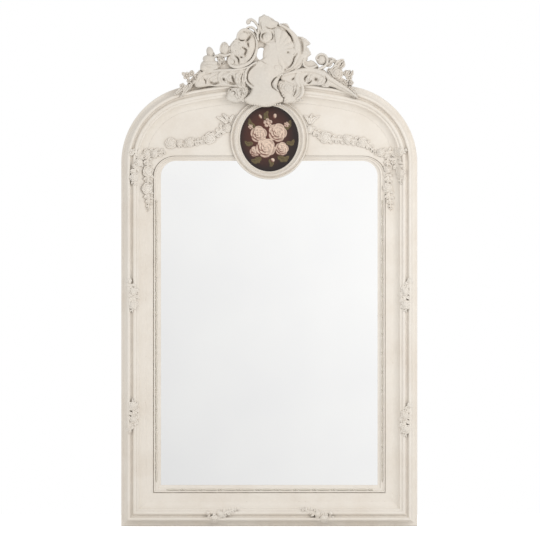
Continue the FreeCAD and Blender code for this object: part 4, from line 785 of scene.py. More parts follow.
def painted_wood(name, shade, grime_and_shade_strength, relief):
    """Distemper on gesso: chalky, yellowed in patches, darkened in the hollows and corners by a grey-brown wash and
    by painted shade, and rubbed on the high edges.
    Relief is how deep a carved hollow is, in mm, where it is full of that wash and painted shade; 0 is for plain
    work."""
    paint = bpy.context.scene.trumeau_paint
    tree, shader, place = finish_called(name, 0.0, 0.62, 1.45)
    patches, mottle, uneven, flake, speck, grit, brush = [
        node(tree, "ShaderNodeTexNoise", Vector=place, Scale=scale, Detail=detail, Roughness=rough)
        for scale, detail, rough in ((9.0, 4.0, 0.55), (120.0, 4.0, 0.55), (45.0, 4.0, 0.55), (85.0, 6.0, 0.7),
                                     (60.0, 8.0, 0.62), (420.0, 3.0, 0.55), (60.0, 3.0, 0.55))]
    # Grime and painted shade: a broad soft painted shade in corners, a dark painted line where two surfaces meet, and
    # the wash and painted shade in a carved hollow.
    corner, crevice = [node(tree, "ShaderNodeAmbientOcclusion", {"samples": 8}, Distance=reach).outputs["AO"]
                       for reach in (paint.reach, paint.reach * 0.25)]
    layers = [(corner, 0.25, 0.85, 0.45 * grime_and_shade_strength, 0.0), (crevice, 0.2, 0.7, 0.6 * grime_and_shade_strength, 0.0)]
    rubbed = []
    if relief:
        hollow = node(tree, "ShaderNodeAttribute", {"attribute_name": "hollow"}).outputs["Fac"]
        layers.append((hollow, 0.07 * relief, relief, 0.0, 0.62))
        rubbed.append((hollow, -0.2 * relief, -0.9 * relief, 0.0, 0.5, paint.chalk))
    # Sum of the painted shade and the wash, from occlusion and from carved hollows, made patchy below.
    grime_and_shade = 0.0
    for value, low, high, least, most in layers:
        part = node(tree, "ShaderNodeMapRange", Value=value, i1=low, i2=high, i3=least, i4=most)
        grime_and_shade = node(tree, "ShaderNodeMath", {"operation": "ADD"}, i0=grime_and_shade, i1=part)
    uneven = node(tree, "ShaderNodeMapRange", Value=uneven, i1=0.3, i2=0.7, i3=0.35, i4=1.0)
    grime_and_shade = node(tree, "ShaderNodeMath", {"operation": "MULTIPLY"}, i0=grime_and_shade, i1=uneven)
    # Chips are small flakes of paint gone to bare wood where the bevelled normal shows a sharp edge.
    turned = node(tree, "ShaderNodeBevel", {"samples": 4}, Radius=0.0016)
    plain = node(tree, "ShaderNodeNewGeometry").outputs["Normal"]
    sharp = node(tree, "ShaderNodeVectorMath", {"operation": "DOT_PRODUCT"}, i0=turned, i1=plain)
    edge = node(tree, "ShaderNodeMapRange", Value=sharp, i1=0.86, i2=0.985, i3=1.0, i4=0.0)
    flake = node(tree, "ShaderNodeMapRange", Value=flake, i1=0.585, i2=0.63)
    chip = node(tree, "ShaderNodeMath", {"operation": "MULTIPLY"}, i0=edge, i1=flake)
    colour = coats(tree, shade, (patches, 0.42, 0.68, 0.0, 0.55, paint.warm),
                   (mottle, 0.45, 0.7, 0.0, 0.16, paint.chalk),
                   *rubbed, (grime_and_shade, 0.0, 1.0, 0.0, 1.0, paint.grime_and_shade_colour), (chip, 0.0, 1.0, 0.0, 0.75, paint.bare),
                   (speck, 0.735, 0.76, 0.0, 0.45, paint.bare))
    rough = node(tree, "ShaderNodeMapRange", Value=grit, i3=0.52, i4=0.72)
    bump = node(tree, "ShaderNodeBump", Strength=0.25, Distance=0.0006, Height=brush)
    bump = node(tree, "ShaderNodeBump", Strength=0.2, Distance=0.0003, Height=grit, Normal=bump)
    plug(tree, shader, Base_Color=colour, Roughness=rough, Normal=bump)


def bare_pine(name, pale, dark, ring_mm, upright):
    """Planed softwood: pale with browner late wood, rings about ring_mm apart, grain along the board."""
    tree, shader, place = finish_called(name, 0.0, 0.7, 1.45)
    along = node(tree, "ShaderNodeMapping", Vector=place, Scale=(1.0, 1.0, 0.05) if upright else (0.05, 1.0, 1.0))
    rings = node(tree, "ShaderNodeTexWave", {"bands_direction": "X" if upright else "Z"}, Vector=along,
                 Scale=50.0 / ring_mm, Distortion=7.0, Detail=2.0, Detail_Scale=1.4).outputs["Fac"]
    wander, fibre = [node(tree, "ShaderNodeTexNoise", Vector=along, Scale=scale, Detail=3.0)
                     for scale in (14.0, 500.0)]
    # Darker brown towards corners and where parts meet.
    darker_in_corners = node(tree, "ShaderNodeAmbientOcclusion", {"samples": 8}, Distance=0.01).outputs["AO"]
    colour = coats(tree, pale, (rings, 0.35, 0.95, 0.0, 1.0, dark), (wander, 0.0, 1.0, 0.0, 0.35, dark),
                   (fibre, 0.0, 1.0, 0.0, 0.25, "#5B4630"), (darker_in_corners, 0.3, 0.9, 0.7, 0.0, "#4A3B2C"))
    bump = node(tree, "ShaderNodeBump", Strength=0.35, Distance=0.0004, Height=fibre)
    plug(tree, shader, Base_Color=colour, Normal=bump)


def silvered_glass(name):
    """Silvered plate glass: a bright smooth face, foxed with a few grey specks near its rim."""
    tree, shader, place = finish_called(name, 1.0, 0.02)
    haze, speck = [node(tree, "ShaderNodeTexNoise", Vector=place, Scale=scale, Detail=detail)
                   for scale, detail in ((3.0, 2.0), (130.0, 5.0))]
    rim = node(tree, "ShaderNodeAmbientOcclusion", {"samples": 8}, Distance=0.03).outputs["AO"]
    near_rim = node(tree, "ShaderNodeMapRange", Value=rim, i1=0.6, i2=0.95, i3=1.0, i4=0.0)
    foxed = node(tree, "ShaderNodeMapRange", Value=speck, i1=0.72, i2=0.76)
    foxed = node(tree, "ShaderNodeMath", {"operation": "MULTIPLY"}, i0=foxed, i1=near_rim)
    plug(tree, shader, Base_Color=coats(tree, "#F8F8F8", (haze, 0.3, 0.7, 0.0, 1.0, "#FCFCFB"),
                                        (foxed, 0.0, 1.0, 0.0, 0.6, "#8C8C86")))


def steel(name, shade, roughness, rust):
    """Drawn or pressed mild steel: grey, with oxide bloom in spots a few millimetres across."""
    tree, shader, place = finish_called(name, 1.0, roughness)
    bloom, scratch = [node(tree, "ShaderNodeTexNoise", Vector=place, Scale=scale, Detail=detail)
                      for scale, detail in ((260.0, 6.0), (900.0, 2.0))]
    rough = node(tree, "ShaderNodeMapRange", Value=bloom, i1=0.55, i2=0.7, i3=roughness, i4=0.75)
    bump = node(tree, "ShaderNodeBump", Strength=0.2, Distance=0.0002, Height=scratch)
    plug(tree, shader, Base_Color=coats(tree, shade, (bloom, 0.55, 0.7, 0.0, rust, "#6B4B36")), Roughness=rough,
         Normal=bump)


def soft_pad(name, shade, pitch_mm, height):
    """Felt or rubber: matt, with a fibre or moulding texture of the given pitch."""
    tree, shader, place = finish_called(name, 0.0, 0.92)
    fuzz = node(tree, "ShaderNodeTexNoise", Vector=place, Scale=1000.0 / pitch_mm, Detail=3.0)
    bump = node(tree, "ShaderNodeBump", Strength=0.5, Distance=height, Height=fuzz)
    plug(tree, shader, Base_Color=coats(tree, shade, (fuzz, 0.0, 1.0, 0.0, 0.4, "#2A2620")), Normal=bump)


def oil_picture(name):
    """Oil paint on panel: painted colours with brush marks, fine cracks and a low varnish gloss."""
    tree, shader, place = finish_called(name, 0.0, 0.42)
    painted = node(tree, "ShaderNodeAttribute", {"attribute_name": "painting"}).outputs["Color"]
    strokes = node(tree, "ShaderNodeTexNoise", Vector=place, Scale=140.0, Detail=5.0, Roughness=0.65)
    cracks = node(tree, "ShaderNodeTexVoronoi", {"feature": "DISTANCE_TO_EDGE"}, Vector=place, Scale=90.0)
    colour = coats(tree, painted, (strokes, 0.3, 0.75, 0.0, 0.35, "#1E0F0B"),
                   (cracks, 0.0, 0.035, 0.35, 0.0, "#140A08"))
    bump = node(tree, "ShaderNodeBump", Strength=0.3, Distance=0.0004, Height=strokes)
    plug(tree, shader, Base_Color=colour, Normal=bump)


def put_on(piece, name):
    """Gives a piece the finish of this name and no other."""
    material = bpy.data.materials.get(name)
    if material is None:
        raise RuntimeError("The finishes are made before " + name + " is used")
    piece.data.materials.clear()
    piece.data.materials.append(material)


def add_piece(mesh, finish, slot, *nodes):
    """Puts a finished mesh in the scene in place of the CAD nodes that it stands for."""
    piece = bpy.data.objects.new(mesh.name, mesh)
    bpy.context.scene.collection.objects.link(piece)
    put_on(piece, finish)
    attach(piece, "frame")
    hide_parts(*nodes)


# ---- What repeats: bead strips and screws, in Geometry Nodes ----
def instancer(name, sizes, finish, build):
    """A node group that makes its pieces on the points it is given; build adds the shape's nodes."""
    group = bpy.data.node_groups.new(name, "GeometryNodeTree")
    group.interface.new_socket(name="Points", in_out="INPUT", socket_type="NodeSocketGeometry")
    for label, value in sizes.items():
        socket = group.interface.new_socket(name=label, in_out="INPUT", socket_type="NodeSocketFloat")
        socket.default_value = value
    group.interface.new_socket(name="Pieces", in_out="OUTPUT", socket_type="NodeSocketGeometry")
    made = build(group, node(group, "NodeGroupInput"))
    real = node(group, "GeometryNodeRealizeInstances", Geometry=made)
    coated = node(group, "GeometryNodeSetMaterial", Geometry=real, Material=bpy.data.materials[finish])
    node(group, "NodeGroupOutput", i0=coated)
    return group


def baked(name, points, group, sizes):
    """Runs a node group on points (x, y, z, kind) with these sizes and returns the result as a plain mesh."""
    mesh = bpy.data.meshes.new(name + "_points")
    mesh.from_pydata([p[:3] for p in points], [], [])
    kind = mesh.attributes.new("kind", "FLOAT", "POINT")
    kind.data.foreach_set("value", [float(p[3]) for p in points])
    holder = bpy.data.objects.new(name + "_points", mesh)
    bpy.context.scene.collection.objects.link(holder)
    modifier = holder.modifiers.new("Pieces", "NODES")
    modifier.node_group = group
    for item in group.interface.items_tree:
        if item.in_out == "INPUT" and item.name in sizes:
            modifier[item.identifier] = sizes[item.name]
    graph = bpy.context.evaluated_depsgraph_get()
    made = bpy.data.meshes.new_from_object(holder.evaluated_get(graph), depsgraph=graph)
    made.name = name
    bpy.data.objects.remove(holder)
    bpy.data.meshes.remove(mesh)
    return made


OLIVE, PEARL, LYING = 0.0, 1.0, 0.25


def beads_on_points(group, given):
    """Olives where kind is under 0.5 and pearls above; LYING added to either lays the bead along x."""
    kind = node(group, "GeometryNodeInputNamedAttribute", {"data_type": "FLOAT"}, Name="kind")
    is_pearl = node(group, "FunctionNodeCompare", {"data_type": "FLOAT", "operation": "GREATER_THAN"}, i0=kind,
                    i1=0.5)
    is_olive = node(group, "FunctionNodeBooleanMath", {"operation": "NOT"}, i0=is_pearl)
    twice = node(group, "ShaderNodeMath", {"operation": "MULTIPLY"}, i0=kind, i1=2.0)
    lying = node(group, "ShaderNodeMath", {"operation": "FRACT"}, i0=twice)
    angle = node(group, "ShaderNodeMath", {"operation": "MULTIPLY"}, i0=lying, i1=math.pi)
    turn = node(group, "ShaderNodeCombineXYZ", Y=angle)
    beads = node(group, "GeometryNodeJoinGeometry")
    for length, share, facets, chosen in (("Olive length", 0.497, 14, is_olive), ("Pearl pitch", 0.47, 12, is_pearl)):
        half = node(group, "ShaderNodeMath", {"operation": "MULTIPLY"}, i0=given.outputs[length], i1=share)
        ball = node(group, "GeometryNodeMeshUVSphere", Segments=facets, Rings=facets, Radius=1.0)
        size = node(group, "ShaderNodeCombineXYZ", X=given.outputs["Radius"], Y=given.outputs["Radius"], Z=half)
        bead = node(group, "GeometryNodeTransform", Geometry=ball, Scale=size)
        plug(group, beads, i0=node(group, "GeometryNodeInstanceOnPoints", Points=given.outputs["Points"],
                                   Selection=chosen, Instance=bead, Rotation=turn))
    return beads


def screws_on_points(group, given):
    """A slotted countersunk head: a disc with a sawn slot, turned by its kind."""
    radius, width = given.outputs["Head radius"], given.outputs["Slot width"]
    head = node(group, "GeometryNodeMeshCylinder", {"fill_type": "NGON"}, Vertices=24, Radius=radius, Depth=0.0016)
    reach = node(group, "ShaderNodeMath", {"operation": "MULTIPLY"}, i0=radius, i1=2.4)
    size = node(group, "ShaderNodeCombineXYZ", X=reach, Y=width, Z=0.0016)
    saw = node(group, "GeometryNodeMeshCube", Size=size)
    saw = node(group, "GeometryNodeTransform", Geometry=saw, Translation=(0, 0, 0.0009))
    cut = node(group, "GeometryNodeMeshBoolean", {"operation": "DIFFERENCE", "solver": "EXACT"}, i0=head, i1=saw)
    kind = node(group, "GeometryNodeInputNamedAttribute", {"data_type": "FLOAT"}, Name="kind")
    turn = node(group, "ShaderNodeCombineXYZ", X=-math.pi / 2, Y=kind)
    return node(group, "GeometryNodeInstanceOnPoints", Points=given.outputs["Points"], Instance=cut, Rotation=turn)


# ---- Operators: one for each piece or group of like pieces ----
class FinishTheCarcass(bpy.types.Operator):
    """Give the mouldings, friezes, wood, boards and fittings their finishes"""
    bl_idname = "trumeau.finishes"
    bl_label = "Finishes"

    def execute(self, context):
        paint = context.scene.trumeau_paint
        # The third number is how strong the wash and painted shade are on each finish.
        painted_wood(CREST_PAINT, paint.crest, 0.85, 4.5)
        painted_wood(GESSO_PAINT, paint.cream, 0.7, 2.1)
        painted_wood(WOOD_PAINT, paint.cream, 0.6, 0)
        # The bead strip takes the darker colour and the strongest painted shade, for the shade between its beads.
        painted_wood(SHADED_STRIP_PAINT, paint.strip, 1.5, 0)
        bare_pine("planed pine upright", "#C7A678", "#A07C4E", 5.0, True)
        bare_pine("planed pine level", "#C7A678", "#A07C4E", 5.0, False)
        bare_pine("thin backing board", "#9C8058", "#7C6140", 9.0, True)
        silvered_glass("silvered mirror glass")
        steel("zinc plated steel strap", "#A9A9A4", 0.38, 0.35)
        steel(SCREW_STEEL, "#8D8A84", 0.45, 0.6)
        soft_pad("black rubber block", "#2E2C2A", 1.2, 0.0001)
        soft_pad("brown felt pad", "#5A5146", 0.5, 0.0004)
        oil_picture(PICTURE_PAINT)
        finishes = (
            (WOOD_PAINT, ("moulding_", "frieze_", "spandrel_", "sight_", "medallion_ring", "crest_core")),
            ("planed pine upright", ("stile_", "lap_pegs")),
            ("planed pine level", ("bottom_rail", "head_board", "crest_batten", "medallion_backing")),
            ("thin backing board", ("backboard_",)),
            ("silvered mirror glass", ("mirror_plate",)),
            ("zinc plated steel strap", ("hanger_",)),
            ("black rubber block", ("setting_blocks",)),
            ("brown felt pad", ("glazing_pads",)),
        )
        for finish, starts in finishes:
            for name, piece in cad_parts.items():
                if name.startswith(starts):
                    put_on(piece, finish)
        return {"FINISHED"}


def carve_crest(node_name, low, high, maker):
    """One carving of the crest, from the bead's face forwards; low and high are the corners of its grid."""
    grid = bpy.context.scene.trumeau_carving.grid / MM
    mesh = carved("carved_" + node_name, low, high, grid, ARCH_TOP, BEAD_FACE, BEAD_FACE, maker)
    add_piece(mesh, CREST_PAINT, "cream_paint", node_name)


class CarvePlume(bpy.types.Operator):
    """Carve the plume, its curl and its tendril"""
    bl_idname = "trumeau.plume"
    bl_label = "Plume"

    def execute(self, context):
        carve_crest("crest_plume", (-90, 120), (45, 234), carve_plume)
        return {"FINISHED"}


class CarveCartouche(bpy.types.Operator):
    """Carve the smooth shield and the lobe below it"""
    bl_idname = "trumeau.cartouche"
    bl_label = "Cartouche"

    def execute(self, context):
        carve_crest("crest_cartouche", (-105, -112), (64, 134), carve_cartouche)
        return {"FINISHED"}


class CarveScroll(bpy.types.Operator):
    """Carve the large C scroll and the flowers within it"""
    bl_idname = "trumeau.scroll"
    bl_label = "Left scroll"

    def execute(self, context):
        carve_crest("crest_scroll_left", (-172, 24), (-40, 190), carve_scroll_left)
        return {"FINISHED"}


class CarveShell(bpy.types.Operator):
    """Carve the ribbed shell and its leafy edge"""
    bl_idname = "trumeau.shell"
    bl_label = "Shell"

    def execute(self, context):
        carve_crest("crest_shell", (12, -6), (172, 204), carve_shell)
        return {"FINISHED"}


class CarveWings(bpy.types.Operator):
    """Carve the two acanthus wings that run down the arch"""
    bl_idname = "trumeau.wings"
    bl_label = "Wings"

    def execute(self, context):
        carve_crest("crest_wing_left", (-280, -60), (-50, 60), carve_wing_left)
        carve_crest("crest_wing_right", (40, -90), (345, 50), carve_wing_right)
        return {"FINISHED"}


class CarveRoses(bpy.types.Operator):
    """Carve the roses, buds and leaves at both ends of the crest"""
    bl_idname = "trumeau.roses"
    bl_label = "Roses"

    def execute(self, context):
        carve_crest("crest_roses_left", (-360, -95), (-130, 140), carve_roses_left)
        carve_crest("crest_roses_right", (110, -90), (345, 95), carve_roses_right)
        return {"FINISHED"}


class CarveFoliage(bpy.types.Operator):
    """Carve the rosettes and leaves beside the lower lobe"""
    bl_idname = "trumeau.foliage"
    bl_label = "Lower foliage"

    def execute(self, context):
        carve_crest("crest_foliage_left", (-170, -105), (-70, -30), carve_foliage_left)
        carve_crest("crest_foliage_right", (30, -105), (145, -10), carve_foliage_right)
        return {"FINISHED"}


def carve_gesso(node_name, low, high, seat, maker):
    """One festoon or spray of applied ornament, from its seat forwards; low and high are its grid's corners."""
    grid = bpy.context.scene.trumeau_carving.fine_grid / MM
    mesh = carved("carved_" + node_name, low, high, grid, 0, seat, FIELD, maker)
    add_piece(mesh, GESSO_PAINT, "cream_paint", node_name)


class CarveFestoons(bpy.types.Operator):
    """Carve the two flower festoons beside the medallion"""
    bl_idname = "trumeau.festoons"
    bl_label = "Festoons"

    def execute(self, context):
        carve_gesso("festoon_left", (-395, 1395), (-122, 1546), FIELD, carve_festoon_left)
        carve_gesso("festoon_right", (118, 1362), (412, 1546), FIELD, carve_festoon_right)
        return {"FINISHED"}


class CarveCornerSprays(bpy.types.Operator):
    """Carve the sprays at the upper corners, which lie over the flat and the outer moulding"""
    bl_idname = "trumeau.corner_sprays"
    bl_label = "Corner sprays"

    def execute(self, context):
        carve_gesso("corner_spray_left", (-540, 1160), (-375, 1415), stile_seat, carve_corner_left)
        carve_gesso("corner_spray_right", (380, 1160), (520, 1420), stile_seat, carve_corner_right)
        return {"FINISHED"}


class CarveSideSprays(bpy.types.Operator):
    """Carve the four small sprays on the side mouldings"""
    bl_idname = "trumeau.side_sprays"
    bl_label = "Side sprays"

    def execute(self, context):
        for side, x in SIDE_SPRAYS.items():
            for level, z in SPRAY_HEIGHTS.items():
                lean = 1 if side == "left" else -1
                turn = -1 if (side, level) == ("left", "lower") else 1
                carve_gesso("side_spray_%s_%s" % (side, level), (x - SPRAY_HALF_WIDTH, z - SPRAY_HALF_HEIGHT),
                            (x + SPRAY_HALF_WIDTH, z + SPRAY_HALF_HEIGHT), stile_seat,
                            lambda relief: spray_upright(relief, x, z, lean, turn))
        return {"FINISHED"}


class CarveBottomSprays(bpy.types.Operator):
    """Carve the pair of small sprays on the bottom moulding"""
    bl_idname = "trumeau.bottom_sprays"
    bl_label = "Bottom sprays"

    def execute(self, context):
        carve_gesso("bottom_spray_left", (-252, 4), (-96, 82), rail_seat, lambda relief: spray_bottom(relief, 1))
        carve_gesso("bottom_spray_right", (96, 4), (252, 82), rail_seat, lambda relief: spray_bottom(relief, -1))
        return {"FINISHED"}


class TurnBeadStrips(bpy.types.Operator):
    """Turn the olives and pearls round the mirror"""
    bl_idname = "trumeau.bead_strips"
    bl_label = "Bead strips"

    def execute(self, context):
        strip = context.scene.trumeau_strips
        sizes = {"Radius": strip.radius, "Olive length": strip.olive, "Pearl pitch": strip.pearl}
        group = instancer("olives and pearls", sizes, SHADED_STRIP_PAINT, beads_on_points)
        pitch = strip.olive + 2 * strip.pearl
        for name in ("left", "right", "bottom"):
            low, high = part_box("pearls_" + name)
            lying = name == "bottom"
            start, end = (low[0], high[0]) if lying else (low[2], high[2])
            across = (low[2] + high[2]) / 2 if lying else (low[0] + high[0]) / 2
            points = []
            for k in range(round((end - start) / pitch)):
                for offset, kind in ((strip.olive / 2, OLIVE), (strip.olive + strip.pearl / 2, PEARL),
                                     (strip.olive + 1.5 * strip.pearl, PEARL)):
                    run = start + k * pitch + offset
                    if lying:
                        points.append((run, -FIELD * MM, across, kind + LYING))
                    else:
                        points.append((across, -FIELD * MM, run, kind))
            mesh = baked("turned_pearls_" + name, points, group, sizes)
            mesh.shade_smooth()
            add_piece(mesh, SHADED_STRIP_PAINT, "cream_paint", "pearls_" + name)
        return {"FINISHED"}


class DriveScrews(bpy.types.Operator):
    """Set the slotted screws of the boards, the batten and the hangers"""
    bl_idname = "trumeau.screws"
    bl_label = "Screws"

    def execute(self, context):
        fitting = context.scene.trumeau_fittings
        sizes = {"Head radius": fitting.head, "Slot width": fitting.slot}
        group = instancer("slotted screws", sizes, SCREW_STEEL, screws_on_points)
        places = [(x, off_wall, z) for across, off_wall, heights in (BOARD_SCREWS, BATTEN_SCREWS, STRAP_SCREWS)
                  for x in across for z in heights]
        turns = np.random.default_rng(7).uniform(0, math.pi, len(places))
        points = [(x * MM, -(off_wall + SCREW_HEAD_HALF) * MM, z * MM, turn)
                  for (x, off_wall, z), turn in zip(places, turns)]
        add_piece(baked("slotted_screws", points, group, sizes), SCREW_STEEL, "screw_steel", "screws")
        return {"FINISHED"}


def bouquet_leaves(relief):
    """Leaves that spread from behind the flowers."""
    for points, width, rise, lobes in (([(-30, -70), (-52, -84), (-70, -78)], 26, 14, 4),
                                       ([(30, -66), (54, -78), (74, -64)], 26, 14, 4),
                                       ([(-46, 34), (-70, 52), (-74, 76)], 24, 12, 4),
                                       ([(44, 36), (68, 46), (80, 70)], 24, 12, 4),
                                       ([(-4, 62), (-14, 84), (-4, 104)], 22, 12, 4),
                                       ([(-60, -16), (-80, -20), (-92, -8)], 20, 12, 3),
                                       ([(62, -14), (82, -18), (92, -2)], 20, 12, 3),
                                       ([(0, -76), (8, -94), (0, -106)], 20, 12, 3)):
        relief.leaf(points, width, 2, rise, lobes)


def bouquet_flowers(relief):
    """A loose bouquet of garden roses, small blossoms and buds."""
    for x, z, radius, base, rise, turn in ((-40, 16, 32, 6, 26, 0.3), (30, 22, 36, 8, 30, 1.2),
                                           (-14, -34, 38, 10, 32, 0.8), (46, -38, 26, 6, 22, 0.1),
                                           (-54, -48, 20, 4, 18, 0.6)):
        relief.rose(x, z, radius, base, rise, turn)
    for x, z, radius, base, rise, turn in ((-6, 58, 18, 4, 16, 0.4), (64, 52, 11, 3, 12, 0.1),
                                           (-70, 44, 10, 3, 12, 0.8)):
        relief.blossom(x, z, radius, base, rise, 5, turn)
    for x, z, half_width, half_height, turn in ((20, 84, 7, 10, -20), (-34, 82, 6, 9, 30), (12, -80, 8, 8, 0)):
        relief.boss(x, z, half_width, half_height, 3, 12, turn)


def blended(share, dark, light):
    """Linear colours between two hex colours, for an array of shares."""
    a, b = np.array(paint_colour(dark)[:3]), np.array(paint_colour(light)[:3])
    return a + (b - a) * share[..., None]


def painted(x, z, half_width, half_height, leaves, flowers):
    """Colours of the picture: a dark ground lit in its middle, leaves and flowers over it, and a darker rim."""
    ground = np.clip(0.75 - np.hypot((x + 14) / 105, (z - 12) / 125) ** 2 * 0.75, 0, 1)
    colour = blended(ground, "#22100C", "#64301F")
    for field, dark, light, spread in ((leaves, "#2B2314", "#7C6B45", 0.55), (flowers, "#6E3325", "#F3D9C4", 1.0)):
        slope_x, slope_z = [slope / field.step for slope in np.gradient(blurred(field.height, 1))]
        lit = np.clip(0.52 + spread * 0.42 * (-slope_x - slope_z) + 0.012 * field.height, 0.04, 1)
        shown = np.clip(field.inside / 1.2, 0, 1)[..., None]
        colour = colour * (1 - shown) + blended(lit, dark, light) * shown
    return colour * np.clip(1.18 - np.hypot(x / half_width, z / half_height) ** 6 * 0.9, 0.25, 1)[..., None]


class PaintPicture(bpy.types.Operator):
    """Paint a bouquet of roses on the medallion's panel"""
    bl_idname = "trumeau.picture"
    bl_label = "Picture"

    def execute(self, context):
        low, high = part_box("medallion_panel")
        half_width, half_height = (high[0] - low[0]) / 2 / MM, (high[2] - low[2]) / 2 / MM
        back, front = -high[1] / MM, -low[1] / MM
        reach = ((-half_width - 2, -half_height - 2), (half_width + 2, half_height + 2), 1.2)
        panel = Relief(*reach)
        panel.boss(0, 0, half_width, half_height, 0, front - back, 0, 400.0)
        mesh = panel.mesh("painted_medallion_panel", back, back)
        mesh.transform(Matrix.Translation((0, 0, RING_CENTRE * MM)))
        leaves, flowers = Relief(*reach), Relief(*reach)
        bouquet_leaves(leaves)
        bouquet_flowers(flowers)
        flat = painted(panel.x, panel.z, half_width, half_height, leaves, flowers)[panel.used]
        values = np.ones((2 * len(flat), 4), np.float32)
        values[:, :3] = np.concatenate([flat, flat])
        layer = mesh.attributes.new("painting", "FLOAT_COLOR", "POINT")
        layer.data.foreach_set("color", values.ravel())
        add_piece(mesh, PICTURE_PAINT, "picture_paint", "medallion_panel")
        return {"FINISHED"}


# ---- Stage ----
# In metres: where the camera and the lamps stand, and the plane that the view's width is measured at.
CAMERA_SHIFT, CAMERA_HEIGHT = 0.0026, 0.9519
MOULDING_PLANE = 0.06
KEY_PLACE, FILL_PLACE, LAMP_TARGET = (1.6, -2.2, 1.7), (-2.4, -2.2, 1.0), (0, 0, 1.0)
LAMP_SIZE = 1.4
WHITE = (1, 1, 1, 1)


def flat_board(name, corners):
    """A flat card of the studio, which isn't part of the mirror."""
    mesh = bpy.data.meshes.new(name)
    mesh.from_pydata(corners, [], [(0, 1, 2, 3)])
    board = bpy.data.objects.new(name, mesh)
    bpy.context.scene.collection.objects.link(board)
    return board


def studio_finish(name):
    """An empty material for the stage; returns it with its tree."""
    material = bpy.data.materials.new(name)
    material.use_nodes = True
    material.node_tree.nodes.clear()
    return material, material.node_tree


def lay_floor():
    """A matt white floor that glows a little to the camera, keeps the shadow and isn't seen in the mirror."""
    floor = flat_board("white_floor", [(-6, -6, 0), (6, -6, 0), (6, 0.6, 0), (-6, 0.6, 0)])
    material, tree = studio_finish("white studio floor")
    matt = node(tree, "ShaderNodeBsdfDiffuse", Color=paint_colour("#F6F5F3"))
    glow = node(tree, "ShaderNodeEmission", Color=WHITE, Strength=0.55)
    seen = node(tree, "ShaderNodeLightPath").outputs["Is Camera Ray"]
    lifted = node(tree, "ShaderNodeAddShader", i0=matt, i1=glow)
    shown = node(tree, "ShaderNodeMixShader", i0=seen, i1=matt, i2=lifted)
    node(tree, "ShaderNodeOutputMaterial", i0=shown)
    floor.data.materials.append(material)
    floor.visible_glossy = False


def light_evenly(strength):
    """Even white light, with a plain white ground for the camera."""
    world = bpy.context.scene.world = bpy.data.worlds.new("even studio light")
    world.use_nodes = True
    tree = world.node_tree
    tree.nodes.clear()
    ray = node(tree, "ShaderNodeLightPath")
    even, mirrored, white = [node(tree, "ShaderNodeBackground", Color=WHITE, Strength=level)
                             for level in (strength, 0.9, 1.0)]
    shown = node(tree, "ShaderNodeMixShader", i0=ray.outputs["Is Glossy Ray"], i1=even, i2=mirrored)
    shown = node(tree, "ShaderNodeMixShader", i0=ray.outputs["Is Camera Ray"], i1=shown, i2=white)
    node(tree, "ShaderNodeOutputWorld", i0=shown)


def hang_reflected_card():
    """A grey card behind the camera, whiter to the upper right, that only the mirror sees."""
    card = flat_board("reflected_card", [(-3, -16, -3), (3, -16, -3), (3, -16, 4), (-3, -16, 4)])
    for ray_kind in ("camera", "diffuse", "shadow", "transmission", "volume_scatter"):
        setattr(card, "visible_" + ray_kind, False)
    material, tree = studio_finish("graded reflection")
    place = node(tree, "ShaderNodeTexCoord").outputs["Object"]
    grade = node(tree, "ShaderNodeVectorMath", {"operation": "DOT_PRODUCT"}, i0=place, i1=(0.22, 0.0, 0.16))
    colour = coats(tree, "#E3E3E3", (grade, -0.4, 0.35, 0.0, 1.0, "#FFFFFF"))
    glow = node(tree, "ShaderNodeEmission", Color=colour, Strength=1.0)
    node(tree, "ShaderNodeOutputMaterial", i0=glow)
    card.data.materials.append(material)


def hang_lamp(name, power, place):
    """A square soft lamp turned to the middle of the mirror."""
    data = bpy.data.lights.new(name, "AREA")
    data.energy = power
    data.size = LAMP_SIZE
    lamp = bpy.data.objects.new(name, data)
    bpy.context.scene.collection.objects.link(lamp)
    lamp.location = place
    lamp.rotation_euler = (Vector(LAMP_TARGET) - lamp.location).to_track_quat("-Z", "Y").to_euler()
    lamp.visible_glossy = False


def set_camera(distance, frame_width):
    """A long lens square to the wall, framed at the mouldings."""
    data = bpy.data.cameras.new("camera")
    data.sensor_width = 36.0
    data.lens = data.sensor_width * (distance - MOULDING_PLANE) / frame_width
    camera = bpy.data.objects.new("camera", data)
    bpy.context.scene.collection.objects.link(camera)
    camera.location = (CAMERA_SHIFT, -distance, CAMERA_HEIGHT)
    camera.rotation_euler = (math.pi / 2, 0, 0)
    bpy.context.scene.camera = camera


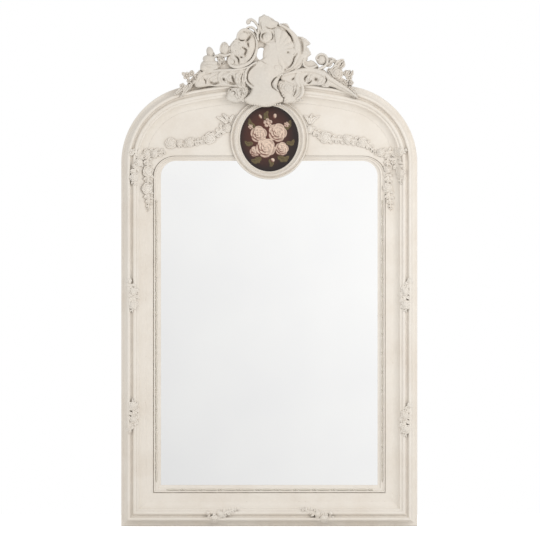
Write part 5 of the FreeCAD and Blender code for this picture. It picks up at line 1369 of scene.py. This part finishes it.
class SetStage(bpy.types.Operator):
    """Set the floor, the even light, the lamps, the reflected card and the camera"""
    bl_idname = "trumeau.stage"
    bl_label = "Stage"

    def execute(self, context):
        sizes = context.scene.trumeau_stage
        context.scene.view_settings.view_transform = "Standard"
        lay_floor()
        light_evenly(sizes.ambient)
        hang_reflected_card()
        hang_lamp("key_lamp", sizes.key, KEY_PLACE)
        hang_lamp("fill_lamp", sizes.fill, FILL_PLACE)
        set_camera(sizes.distance, sizes.frame_width)
        return {"FINISHED"}


PIECES = (FinishTheCarcass, CarvePlume, CarveCartouche, CarveScroll, CarveShell, CarveWings, CarveRoses, CarveFoliage,
          CarveFestoons, CarveCornerSprays, CarveSideSprays, CarveBottomSprays, TurnBeadStrips, DriveScrews,
          PaintPicture, SetStage)
SETTINGS = {"trumeau_paint": PaintSettings, "trumeau_carving": CarvingSettings, "trumeau_strips": StripSettings,
            "trumeau_fittings": FittingSettings, "trumeau_stage": StageSettings}


class TrumeauPanel(bpy.types.Panel):
    """Sizes, colours and pieces of the mirror"""
    bl_idname = "TRUMEAU_PT_pieces"
    bl_label = "Trumeau mirror"
    bl_space_type = "VIEW_3D"
    bl_region_type = "UI"
    bl_category = "Trumeau"

    def draw(self, context):
        for name, kind in SETTINGS.items():
            box = self.layout.box()
            for field in kind.__annotations__:
                box.prop(getattr(context.scene, name), field)
        for piece in PIECES:
            self.layout.operator(piece.bl_idname)


def register():
    for kind in tuple(SETTINGS.values()) + PIECES + (TrumeauPanel,):
        bpy.utils.register_class(kind)
    for name, kind in SETTINGS.items():
        setattr(bpy.types.Scene, name, bpy.props.PointerProperty(type=kind))


def unregister():
    for name in SETTINGS:
        delattr(bpy.types.Scene, name)
    for kind in reversed(tuple(SETTINGS.values()) + PIECES + (TrumeauPanel,)):
        bpy.utils.unregister_class(kind)


def main():
    """Makes every piece in order."""
    register()
    for piece in PIECES:
        group, name = piece.bl_idname.split(".")
        getattr(getattr(bpy.ops, group), name)()


if __name__ == "__main__":
    main()
